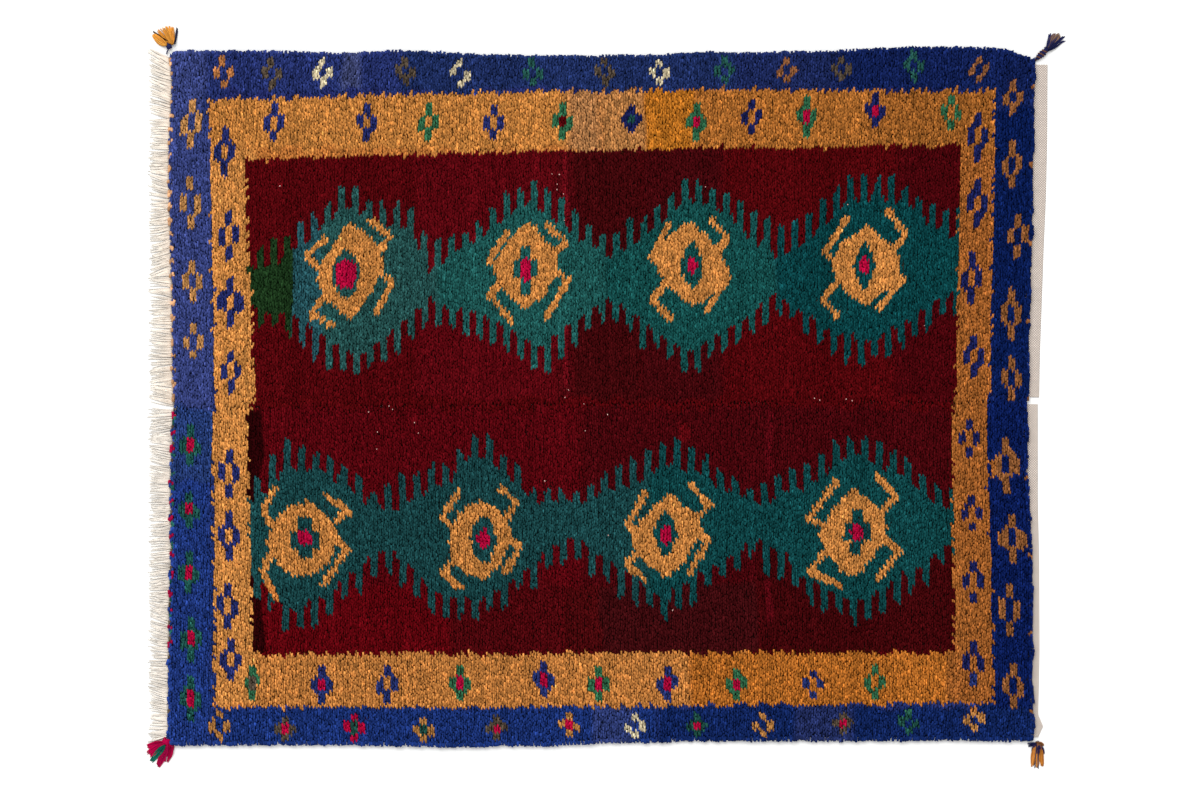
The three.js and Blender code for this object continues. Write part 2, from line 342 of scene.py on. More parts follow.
def yarns(paths: Array, radii: Array, sides: int) -> tuple[Array, Array]:
    """Round yarns along paths, each closed by a point at both ends.

    Round each point of a path stand the corners path + radius (cos a · across + sin a · over), where
    across is level and square to the path, and over is square to both.

    Args:
        paths: Yarns by steps by three.
        radii: The radius at each step of each yarn.
        sides: Corners round a yarn.

    Returns:
        The points, and three point numbers a line.
    """
    count, steps = paths.shape[:2]
    tangent = np.gradient(paths, axis=1)
    tangent /= np.linalg.norm(tangent, axis=2, keepdims=True) + 1e-9
    across = np.stack([-tangent[..., 1], tangent[..., 0], np.zeros((count, steps))], 2)
    # Where a yarn points straight up, this tiny push lays its level direction along X
    across += np.array([1e-6, 0, 0])
    across /= np.linalg.norm(across, axis=2, keepdims=True)
    over = np.cross(tangent, across)
    angle = 2 * math.pi * np.arange(sides) / sides
    swing = np.cos(angle)[None, None, :, None] * across[:, :, None]
    swing = swing + np.sin(angle)[None, None, :, None] * over[:, :, None]
    rings = paths[:, :, None] + radii[:, :, None, None] * swing
    ends = np.stack([paths[:, 0], paths[:, -1]], 1)
    points = np.concatenate([rings.reshape(count, -1, 3), ends], 1)
    ring = np.arange(steps * sides).reshape(steps, sides)
    turned = np.roll(ring, -1, axis=1)
    a, b, c, d = ring[:-1], turned[:-1], turned[1:], ring[1:]
    first, last = np.full(sides, steps * sides), np.full(sides, steps * sides + 1)
    one = np.concatenate(
        [
            np.stack([a.ravel(), b.ravel(), c.ravel()], 1),
            np.stack([a.ravel(), c.ravel(), d.ravel()], 1),
            np.stack([first, turned[0], ring[0]], 1),
            np.stack([last, ring[-1], turned[-1]], 1),
        ]
    )
    shift = np.arange(count)[:, None, None] * points.shape[1]
    return points.reshape(-1, 3), (one[None] + shift).reshape(-1, 3)


def tufts(root: Array, ring: Array, tip: Array) -> tuple[Array, Array]:
    """Small closed tufts of wool, each a root, a ring of corners and a tip.

    Args:
        root: Tufts by three.
        ring: Tufts by corners by three, anticlockwise from above.
        tip: Tufts by three.

    Returns:
        The points, and three point numbers a line. A tuft's points are its root, ring and tip.
    """
    count, corners = ring.shape[:2]
    points = np.concatenate([root[:, None], ring, tip[:, None]], 1)
    here = np.arange(1, corners + 1)
    ahead = np.roll(here, -1)
    bottom = np.stack([np.zeros(corners, int), ahead, here], 1)
    top = np.stack([np.full(corners, corners + 1), here, ahead], 1)
    one = np.concatenate([bottom, top])
    shift = np.arange(count)[:, None, None] * (corners + 2)
    return points.reshape(-1, 3), (one[None] + shift).reshape(-1, 3)


def star_patches(counts: list[tuple[int, int]], inside: float = 0.2, outside: float = 0.46) -> Array:
    """Flat places for tufts of wool: each is a star in a square of its own, so that none overlap.

    The tip is the star's middle, the ring its inner corners, and the root its points, once for
    each lower face. Corner i stands at the angle 2 pi i / corners, and a point halfway to the next.

    Args:
        counts: How many tufts and how many corners each has, in the order of the mesh.
        inside: How far the inner corners lie from the middle, as a share of the square.
        outside: How far the points lie from it.

    Returns:
        A place for each corner of each triangle.
    """
    squares = math.ceil(math.sqrt(sum(count for count, _ in counts)))
    done, patches = 0, []
    for count, corners in counts:
        angle = 2 * math.pi * np.arange(corners) / corners
        half = angle + math.pi / corners
        inner = 0.5 + inside * np.stack([np.cos(angle), np.sin(angle)], 1)
        outer = 0.5 + outside * np.stack([np.cos(half), np.sin(half)], 1)
        ahead = np.roll(inner, -1, axis=0)
        middle = np.full((corners, 2), 0.5)
        bottom = np.stack([outer, ahead, inner], 1)
        top = np.stack([middle, inner, ahead], 1)
        one = np.concatenate([bottom, top])
        place = np.arange(done, done + count)
        corner = np.stack([place % squares, place // squares], 1)
        patches.append(((one[None] + corner[:, None, None]) / squares).reshape(-1, 2))
        done += count
    return np.concatenate(patches)


@dataclass(frozen=True)
class RimDots:
    """Knots at the fringed end of the pile that are tied in another wool than the border's.

    Attributes:
        dye: Their wool.
        reach: How far in from the end they are tied.
        beat: The part of the dots' spacing that they fill, from and to.
        chance: The share of those knots that is tied so.
        stop: The y that they stop at.
    """

    dye: Dye
    reach: float
    beat: Pair
    chance: float = 1.0
    stop: float = -1000.0


@dataclass(frozen=True)
class Panel:
    """One woven panel: its outline and its knots. Its ends run from the seam outwards.

    Attributes:
        side: Which side of the seam it lies on.
        rows: Rows of knots from the west end to the east end.
        knots: Knots in a row, from the seam to the outer edge.
        outer: Its long outer edge, x and y.
        west: The pile's west end, y and x.
        east: The pile's east end, y and x.
        hem: The outer edge of the flatwoven end, y and x.
        first_tooth: The number of a row where a tooth of the combs starts.
        dots: The odd knots at its fringed end.
        dot_spacing: How far apart those dots are.
        fringe_start: The y where its fringe starts, by the seam.
        fringe_stop: How far the fringe ends short of the corner.
        fringe_flare: How far its last strands spread past the corner.
        fringe_wool: The fringe's colour at its root, darker there partly as painted shade by the pile's
            edge,
        and at its tips, which are whiter.
    """

    side: Side
    rows: int
    knots: int
    outer: Line
    west: Line
    east: Line
    hem: Line
    first_tooth: int
    dots: tuple[RimDots, ...]
    dot_spacing: float
    fringe_start: float
    fringe_stop: float
    fringe_flare: float
    fringe_wool: tuple[str, str]

    @property
    def word(self) -> str:
        """The panel's name in the names of its pieces."""
        return self.side.name.lower()

    def place(self, u: Array, v: Array) -> tuple[Array, Array]:
        """Where a point of the panel lies: first across, from the seam to the outer edge by v, then
        along, from the west end to the east end at that y by u.

        Args:
            u: Share of the way from west to east.
            v: Share of the way from the seam to the outer edge.

        Returns:
            Its x and y.
        """
        rough = PILE_WEST + PILE_LENGTH * u
        seam = along(SEAM_LINE, rough) + self.side * SEWN_GAP / 2
        y = seam + (along(self.outer, rough) - seam) * v
        ends = [self.at_end(self.west, y), self.at_end(self.east, y)]
        return ends[0] + (ends[1] - ends[0]) * u, y

    def at_end(self, end: Line, y: Array) -> Array:
        """The x of an end at a given y: its corners run from the seam outwards, so side · y reads them."""
        return along(tuple((corner[0] * self.side, corner[1]) for corner in end), y * self.side)

    def row_at(self, x: Array, y: Array) -> Array:
        """The row count, from the west end, of a place on the panel."""
        west, east = self.at_end(self.west, y), self.at_end(self.east, y)
        return (x - west) / (east - west) * self.rows


# The line that the two panels are sewn along, x and y
SEAM_LINE = ((-979, -22), (9, -11), (950, -6))

UPPER = Panel(
    side=Side.UPPER,
    rows=251,
    knots=102,
    outer=(
        (-981, 769), (-965, 780), (-913, 782), (-800, 784), (-688, 781), (-576, 777), (-463, 784),
        (-350, 779), (-238, 774), (-115, 771), (0, 773), (99, 774), (211, 780), (324, 779),
        (437, 781), (549, 785), (661, 790), (774, 792), (886, 789), (963, 762),
    ),
    west=((-22, -971), (110, -975), (175, -974), (355, -979), (535, -983), (715, -974), (770, -981)),
    east=((-6, 951), (110, 950), (178, 948), (265, 953), (378, 957), (535, 960), (760, 963)),
    hem=((2, 976), (108, 978), (220, 982), (333, 986), (445, 991), (580, 994), (751, 995)),
    first_tooth=49,
    dots=(RimDots(GOLD, 4.5, (0, 0.36)), RimDots(GOLD, 8, (0, 0.36), 0.45)),
    dot_spacing=30,
    fringe_start=-18,
    fringe_stop=2,
    fringe_flare=20,
    fringe_wool=("#e9dbcc", "#efe9df"),
)

LOWER = Panel(
    side=Side.LOWER,
    rows=237,
    knots=98,
    outer=(
        (-988, -779), (-901, -780), (-801, -779), (-688, -778), (-351, -783), (-228, -781),
        (-115, -781), (-14, -775), (211, -770), (437, -769), (661, -769), (774, -768), (886, -771),
        (967, -768),
    ),
    west=((-22, -973), (-100, -975), (-184, -979), (-364, -978), (-454, -982), (-634, -983), (-781, -985)),
    east=((-6, 947), (-170, 947), (-230, 952), (-364, 957), (-544, 958), (-650, 957), (-770, 961)),
    hem=((-14, 973), (-229, 973), (-364, 976), (-567, 977), (-713, 974), (-740, 985), (-764, 974)),
    first_tooth=31,
    dots=(
        RimDots(MAGENTA, 8, (0, 0.3), 0.6, -560),
        RimDots(GREEN, 8, (0.6, 1), 0.5, -600),
        RimDots(BROWN, 5, (0.4, 0.5)),
    ),
    dot_spacing=40,
    fringe_start=-25,
    fringe_stop=17,
    fringe_flare=0,
    fringe_wool=("#e4dacf", "#ebe5dc"),
)


@dataclass(frozen=True)
class Flower:
    """A small flower of the borders.

    Attributes:
        x: Its middle along the rug.
        y: Its middle across the rug.
        width: Its size along the rug.
        height: Its size across the rug.
        dye: Its wool.
        form: How it is drawn.
        heart: The wool of its middle, or None where the ground shows there.
    """

    x: float
    y: float
    width: float
    height: float
    dye: Dye
    form: Form = RING
    heart: Dye | None = None


@dataclass(frozen=True)
class Hook:
    """A bent arm of a large motif: where it leaves the body, bends and ends, from the body's middle."""

    root: Pair
    elbow: Pair
    tip: Pair


@dataclass(frozen=True)
class Crab:
    """A large motif, known to weavers as a crab: a rounded diamond with an opening, an eye and four hooks.

    Attributes:
        x: The middle of its body along the rug.
        y: The middle of its body across the rug.
        half: Half its body's size along and across the rug.
        lean: How much its right corner lies above its left one, for each millimetre between.
        opening_at: The opening's middle, from the body's.
        opening: Half the opening's size along and across the rug.
        hollow: The opening's shape.
        eye: Half the eye's size along and across the rug.
        hooks: Its four arms.
        roundness: The power of its rounded diamond, where 1 is straight-sided and 2 an ellipse.
    """

    x: float
    y: float
    half: Pair
    lean: float
    opening_at: Pair
    opening: Pair
    hollow: Hollow
    eye: Pair
    hooks: tuple[Hook, ...]
    roundness: float = 1.38


@dataclass(frozen=True)
class Comb:
    """The toothed band that runs from end to end of a panel's field.

    Attributes:
        north: Along its upper side: x, the height of the teeth's tips, and that of the notches.
        south: The same along its lower side.
    """

    north: tuple[tuple[float, float, float], ...]
    south: tuple[tuple[float, float, float], ...]


@dataclass(frozen=True)
class Batch:
    """An area whose wool came from another dye bath, or has faded.

    Attributes:
        dye: The wool that changes.
        colour: What it looks like there.
        west, east, south, north: The area's edges.
        soft: How wide the change is.
    """

    dye: Dye
    colour: str
    west: float
    east: float
    south: float
    north: float
    soft: float = 12.0


FLOWERS = (
    # The blue border's far side
    Flower(-862, 731, 47, 70, GOLD, PETALS),
    Flower(-749, 731, 45, 66, BROWN),
    Flower(-637, 733, 47, 65, IVORY),
    Flower(-455, 736, 45, 63, BROWN),
    Flower(-331, 731, 50, 61, IVORY, PETALS),
    Flower(-167, 731, 47, 63, GREEN),
    Flower(-5, 736, 45, 63, BROWN),
    Flower(122, 733, 43, 54, IVORY),
    Flower(270, 738, 45, 62, GREEN),
    Flower(403, 738, 45, 54, GOLD),
    Flower(527, 743, 45, 54, BROWN),
    Flower(691, 749, 45, 66, GREEN),
    Flower(842, 740, 43, 52, GOLD),
    # The gold border's far side
    Flower(-743, 621, 52, 92, INDIGO),
    Flower(-542, 621, 50, 83, INDIGO),
    Flower(-396, 621, 51, 83, GREEN),
    Flower(-250, 619, 52, 81, INDIGO),
    Flower(-95, 621, 52, 81, GREEN, RING, CRIMSON),
    Flower(56, 628, 43, 68, INDIGO, SOLID, TEAL),
    Flower(203, 622, 47, 81, GREEN, RING, MAGENTA),
    Flower(326, 632, 45, 72, INDIGO),
    Flower(455, 635, 50, 88, GREEN, RING, MAGENTA),
    Flower(605, 646, 45, 74, INDIGO, RING, MAGENTA),
    Flower(776, 643, 40, 72, GREEN, PETALS),
    # The blue border by the fringe
    Flower(-934, 617, 47, 112, GOLD),
    Flower(-934, 438, 50, 121, GOLD, PETALS),
    Flower(-932, 263, 50, 90, GOLD),
    Flower(-932, 126, 50, 81, GOLD, PETALS),
    Flower(-936, -108, 45, 90, GREEN, RING, MAGENTA),
    Flower(-934, -252, 43, 77, GREEN, RING, MAGENTA),
    Flower(-936, -394, 45, 90, GREEN, RING, MAGENTA),
    Flower(-933, -542, 43, 101, GREEN, RING, MAGENTA),
    Flower(-938, -677, 43, 104, GREEN, RING, MAGENTA),
    # The gold border by the fringe
    Flower(-861, 555, 53, 108, INDIGO),
    Flower(-849, 367, 48, 110, INDIGO, PETALS),
    Flower(-845, 217, 54, 106, INDIGO),
    Flower(-845, 59, 51, 90, INDIGO, PETALS),
    Flower(-850, -165, 56, 109, INDIGO, PETALS),
    Flower(-850, -307, 54, 104, INDIGO),
    Flower(-850, -465, 50, 106, INDIGO),
    Flower(-844, -588, 52, 92, INDIGO),
    # The gold border by the flatwoven end
    Flower(839, 589, 52, 108, INDIGO),
    Flower(833, 439, 46, 110, INDIGO),
    Flower(825, 270, 53, 112, INDIGO),
    Flower(830, 95, 48, 101, INDIGO),
    Flower(814, -89, 50, 81, INDIGO, PETALS),
    Flower(821, -259, 51, 77, INDIGO, PETALS),
    Flower(826, -411, 51, 92, INDIGO, PETALS),
    Flower(826, -594, 48, 99, INDIGO, PETALS),
    # The blue border by the flatwoven end
    Flower(917, 676, 44, 77, GOLD),
    Flower(915, 525, 52, 110, GOLD),
    Flower(922, 366, 50, 97, GOLD, PETALS),
    Flower(907, 189, 52, 117, GOLD),
    Flower(912, 44, 47, 95, GOLD),
    Flower(900, -152, 58, 126, GOLD),
    Flower(914, -316, 58, 106, GOLD),
    Flower(912, -477, 54, 119, GOLD, PETALS),
    Flower(917, -649, 52, 99, GOLD),
    # The gold border's near side
    Flower(-797, -639, 33, 74, GREEN, RING, BROWN),
    Flower(-639, -643, 46, 79, INDIGO, RING, MAGENTA),
    Flower(-492, -643, 52, 88, INDIGO),
    Flower(-328, -643, 56, 81, GREEN, RING, MAGENTA),
    Flower(-142, -631, 48, 82, INDIGO, RING, MAGENTA),
    Flower(-16, -643, 56, 83, GREEN, RING, MAGENTA),
    Flower(139, -641, 48, 80, INDIGO, RING, MAGENTA),
    Flower(294, -641, 54, 71, GREEN, RING, MAGENTA),
    Flower(464, -643, 54, 62, INDIGO, PETALS),
    Flower(603, -638, 56, 79, GREEN),
    # The blue border's near side
    Flower(-870, -734, 52, 68, GOLD, PETALS),
    Flower(-724, -742, 46, 56, BROWN, RING, MAGENTA),
    Flower(-564, -739, 56, 65, MAGENTA, PETALS, GREEN),
    Flower(-414, -746, 54, 60, GOLD, PETALS, GREEN),
    Flower(-249, -740, 50, 52, BROWN, RING, MAGENTA),
    Flower(-86, -736, 52, 54, GOLD, PETALS, MAGENTA),
    Flower(66, -740, 48, 52, IVORY, PETALS),
    Flower(207, -736, 47, 48, GREEN, RING, MAGENTA),
    Flower(355, -736, 52, 54, GOLD, PETALS),
    Flower(529, -728, 42, 46, BROWN, RING, MAGENTA),
    Flower(678, -728, 53, 52, GREEN),
    Flower(825, -722, 52, 54, GOLD),
)

UPPER_CRABS = (
    Crab(
        x=-574, y=286, half=(74.5, 103.5), lean=0.25, opening_at=(-12, -7), opening=(33, 60),
        hollow=Hollow.DIAMOND, eye=(25, 33),
        hooks=(
            Hook((-62, 0), (-98, 36), (-56, 74)),
            Hook((62, 42), (87, 79), (44, 113)),
            Hook((-56, -52), (-90, -97), (-42, -119)),
            Hook((60, -2), (92, -22), (58, -95)),
        ),
    ),
    Crab(
        x=-178, y=297, half=(72.4, 96.3), lean=0.03, opening_at=(-2, -7), opening=(26, 54),
        hollow=Hollow.CROSS, eye=(11, 28),
        hooks=(
            Hook((-62, -4), (-84, 14), (-45, 74)),
            Hook((60, 22), (89, 54), (43, 93)),
            Hook((-62, -40), (-83, -65), (-34, -123)),
            Hook((62, -10), (92, -32), (43, -116)),
        ),
    ),
    Crab(
        x=191, y=301, half=(84.9, 91.1), lean=-0.17, opening_at=(3, -3), opening=(25, 54),
        hollow=Hollow.DIAMOND, eye=(11, 18),
        hooks=(
            Hook((-66, 2), (-88, 16), (-52, 89)),
            Hook((56, 30), (83, 59), (45, 101)),
            Hook((-62, -44), (-86, -77), (-45, -122)),
            Hook((64, -20), (83, -30), (36, -103)),
        ),
    ),
    Crab(
        x=585, y=299, half=(79.7, 88), lean=0.0, opening_at=(-3, -1), opening=(24, 54),
        hollow=Hollow.DIAMOND, eye=(11, 21),
        hooks=(
            Hook((-66, 2), (-92, 32), (-46, 104)),
            Hook((58, 30), (90, 72), (45, 126)),
            Hook((-62, -30), (-97, -74), (-62, -114)),
            Hook((62, -14), (83, -32), (29, -95)),
        ),
    ),
)

LOWER_CRABS = (
    Crab(
        x=-682, y=-317, half=(79.8, 83.7), roundness=1.75, lean=0.05, opening_at=(5, 2),
        opening=(34, 45), hollow=Hollow.CROSS, eye=(18, 18),
        hooks=(
            Hook((-68, 30), (-89, 63), (-63, 113)),
            Hook((66, 34), (102, 59), (53, 101)),
            Hook((-68, -24), (-92, -72), (-62, -128)),
            Hook((72, 0), (102, -20), (47, -99)),
        ),
    ),
    Crab(
        x=-284, y=-317, half=(70, 87.5), roundness=1.75, lean=0.12, opening_at=(8, 2),
        opening=(29, 54), hollow=Hollow.DIAMOND, eye=(14, 24),
        hooks=(
            Hook((-60, 24), (-84, 50), (-47, 108)),
            Hook((58, 44), (83, 86), (47, 114)),
            Hook((-58, -44), (-83, -77), (-45, -109)),
            Hook((64, 2), (90, -16), (56, -77)),
        ),
    ),
    Crab(
        x=137, y=-310, half=(82, 91), roundness=1.3, lean=0.18, opening_at=(-2, 6),
        opening=(28, 50), hollow=Hollow.DIAMOND, eye=(15, 21),
        hooks=(
            Hook((-66, 4), (-88, 25), (-46, 101)),
            Hook((60, 36), (97, 70), (54, 113)),
            Hook((-60, -34), (-92, -66), (-50, -95)),
            Hook((68, 4), (95, -10), (52, -79)),
        ),
    ),
    Crab(
        x=556, y=-302, half=(78, 98), roundness=1.3, lean=0.08, opening_at=(8, 2), opening=(29, 48),
        hollow=Hollow.CROSS, eye=(14, 18),
        hooks=(
            Hook((-62, 12), (-101, 30), (-36, 116)),
            Hook((56, 42), (95, 77), (54, 129)),
            Hook((-58, -42), (-99, -88), (-34, -118)),
            Hook((64, -8), (104, -43), (56, -101)),
        ),
    ),
)

UPPER_COMB = Comb(
    north=(
        (-797, 329, 285), (-722, 364, 320), (-587, 484, 430), (-430, 420, 365), (-403, 367, 288),
        (-371, 351, 300), (-336, 364, 325), (-182, 491, 441), (-88, 437, 387), (7, 360, 317),
        (36, 380, 330), (191, 493, 443), (284, 461, 408), (380, 404, 317), (428, 392, 330),
        (554, 500, 450), (662, 491, 440), (774, 419, 365),
    ),
    south=(
        (-785, 169, 208), (-702, 135, 180), (-560, 41, 95), (-500, 81, 135), (-419, 155, 205),
        (-378, 165, 228), (-358, 169, 215), (-227, 113, 165), (-158, 61, 115), (-54, 137, 190),
        (-7, 175, 222), (14, 187, 230), (131, 90, 140), (182, 54, 105), (333, 144, 195),
        (385, 190, 239), (511, 99, 150), (574, 74, 125), (673, 111, 165), (756, 189, 235),
    ),
)

LOWER_COMB = Comb(
    north=(
        (-788, -176, -225), (-718, -95, -160), (-644, -108, -155), (-515, -209, -250),
        (-486, -185, -254), (-362, -144, -190), (-299, -86, -135), (-266, -81, -130),
        (-160, -197, -230), (-54, -212, -232), (14, -153, -205), (137, -101, -150),
        (207, -117, -165), (331, -214, -236), (358, -185, -230), (448, -153, -200),
        (556, -74, -125), (657, -122, -172), (749, -198, -240),
    ),
    south=(
        (-783, -455, -400), (-718, -522, -465), (-648, -506, -455), (-518, -398, -345),
        (-486, -403, -345), (-389, -482, -430), (-295, -509, -458), (-225, -464, -415),
        (-88, -367, -322), (-56, -371, -325), (14, -423, -372), (135, -501, -450),
        (203, -448, -398), (329, -362, -322), (356, -387, -335), (419, -419, -368),
        (452, -468, -415), (556, -506, -455), (626, -482, -430), (700, -432, -380),
        (756, -365, -330),
    ),
)

# A petal's reach across the rug by the middle rows, how much less it is at the flower's edge, and how
# far its heart reaches, all as shares of half its height
FLOWER_SHAPES = {RING: (0.6, 0.34, 0.34), PETALS: (0.42, 0.1, 0.44), SOLID: (1.0, 0.9, 0.3)}

# What each wool looks like where no batch below changes it
WOOLS = {
    CRIMSON: "#4c070b",
    INDIGO: "#222d60",
    GOLD: "#ac6b33",
    TEAL: "#1b4240",
    GREEN: "#2a5a3e",
    MAGENTA: "#9e0a34",
    IVORY: "#b5a98c",
    BROWN: "#4c4136",
}

BATCHES = (
    Batch(CRIMSON, "#4d070c", -812, -430, 0, 580, 40),
    Batch(CRIMSON, "#53080f", -430, -110, 0, 580, 30),
    Batch(CRIMSON, "#45080d", -110, -70, 0, 580, 20),
    Batch(CRIMSON, "#3c080b", -70, 77, 0, 580, 14),
    Batch(CRIMSON, "#3e080c", 77, 265, 0, 580, 30),
    Batch(CRIMSON, "#42060b", 650, 800, 0, 580, 40),
    Batch(CRIMSON, "#51070e", -780, -60, -420, -20, 20),
    Batch(CRIMSON, "#42070c", -60, 800, -420, -20, 40),
    Batch(CRIMSON, "#57060d", -780, -350, -580, -420, 30),
    Batch(CRIMSON, "#4a080d", -350, -90, -580, -420, 30),
    Batch(CRIMSON, "#42080b", -90, -14, -580, -420, 20),
    Batch(CRIMSON, "#3a0b0e", -14, 346, -580, -420, 14),
    Batch(CRIMSON, "#3c070a", 346, 800, -580, -240, 14),
    Batch(CRIMSON, "#260406", -815, -772, -580, -20, 6),
    Batch(CRIMSON, "#5c0b13", -97, -86, 20, 560, 5),
    Batch(CRIMSON, "#58090f", 166, 190, -100, -55, 12),
    Batch(CRIMSON, "#520911", 362, 376, -165, -30, 6),
    Batch(CRIMSON, "#520911", 362, 376, -510, -405, 6),
    Batch(INDIGO, "#353f72", -1000, -898, 590, 800, 20),
    Batch(INDIGO, "#242f63", -898, -460, 660, 800, 30),
    Batch(INDIGO, "#1d2b57", -460, 300, 660, 800, 20),
    Batch(INDIGO, "#1b2652", 300, 520, 660, 800, 30),
    Batch(INDIGO, "#111e4c", 520, 1000, 660, 800, 30),
    Batch(INDIGO, "#343e72", -1000, -885, -20, 590, 10),
    Batch(INDIGO, "#0a1a49", 850, 1000, 0, 660, 10),
    Batch(INDIGO, "#0b1a4c", 850, 1000, -700, 0, 10),
    Batch(INDIGO, "#25396c", -1000, -885, -180, -20, 10),
    Batch(INDIGO, "#1e3370", -1000, -885, -800, -180, 30),
    Batch(INDIGO, "#1a2f6a", -880, 120, -800, -690, 20),
    Batch(INDIGO, "#112355", 120, 1000, -800, -690, 30),
    Batch(INDIGO, "#2b3768", -30, 60, -800, -690, 20),
    Batch(INDIGO, "#212b57", 430, 552, -800, -690, 20),
    Batch(INDIGO, "#3b4269", -592, -552, 690, 800, 20),
    Batch(INDIGO, "#232a5f", -870, -100, -620, 690, 20),
    Batch(INDIGO, "#181d4b", -100, 850, -620, 690, 20),
    Batch(GOLD, "#b07539", -890, -81, 560, 700, 20),
    Batch(GOLD, "#9b6c42", -85, -10, 550, 700, 40),
    Batch(GOLD, "#a57140", -10, 88, 550, 700, 24),
    Batch(GOLD, "#a5651f", 88, 200, 550, 700, 8),
    Batch(GOLD, "#9c612a", 200, 590, 550, 700, 20),
    Batch(GOLD, "#8e5725", 590, 880, 550, 700, 20),
    Batch(GOLD, "#8f5526", 770, 880, -690, 560, 10),
    Batch(GOLD, "#ba7e41", -890, -785, -690, 560, 10),
    Batch(GOLD, "#ae7239", -785, 190, -700, -560, 10),
    Batch(GOLD, "#a16024", 190, 770, -700, -560, 20),
    Batch(GOLD, "#b1763c", -785, 770, -420, 420, 10),
    Batch(GOLD, "#a57746", -1000, -890, -800, 800, 6),
    Batch(GOLD, "#a0683c", -890, -100, 702, 800, 6),
    Batch(GOLD, "#7a4e30", -100, 1000, 702, 800, 6),
    Batch(GOLD, "#7d4f2c", 882, 1000, -800, 700, 6),
    Batch(GOLD, "#9c6c3a", -890, 882, -800, -702, 6),
    Batch(GREEN, "#1d4b45", -1000, -890, -800, 0, 6),
    Batch(GREEN, "#214c46", -890, 1000, 700, 800, 6),
    Batch(GREEN, "#1c443c", -890, 1000, -800, -702, 6),
    Batch(TEAL, "#234b52", -709, -640, 80, 500, 6),
    Batch(TEAL, "#234a48", -640, -380, 0, 520, 10),
    Batch(TEAL, "#1c4e4b", -380, 0, 0, 520, 20),
    Batch(TEAL, "#144745", 0, 380, 0, 520, 20),
    Batch(TEAL, "#0a3b3e", 380, 800, 0, 520, 20),
    Batch(TEAL, "#193018", -812, -709, 80, 420, 4),
    Batch(TEAL, "#183f41", -812, 100, -540, -60, 20),
    Batch(TEAL, "#0f3f41", 100, 800, -540, -60, 20),
    Batch(GOLD, "#b98c68", -1000, -967, -20, 800, 3),
    Batch(MAGENTA, "#860b34", -1000, -967, -800, -20, 3),
)

# Worn places in the field where one pale undyed ply shows, x and y, and its colour
FLECK_COLOUR = "#dcb0a6"
FLECKS = (
    (-124, 505), (-108, 508), (-113, 484), (-114, 474), (-97, 463), (-97, 403), (-88, 25),
    (-84, 23), (-90, 4), (-54, -8), (-729, 477), (223, 484), (549, 439), (-531, -28), (-493, -12),
    (-482, -22), (-430, -52), (-515, -70), (-421, -74), (-513, -108), (-48, -70), (4, -33),
    (-135, -180), (9, -303), (153, -473), (713, 169), (470, 2), (478, 0), (545, 4), (552, 0),
)


@dataclass(frozen=True)
class Places:
    """Where some of a panel's knots are tied.

    Attributes:
        row: Each knot's row count from the west end.
        x: Its place along the rug.
        y: Its place across the rug.
    """

    row: Array
    x: Array
    y: Array


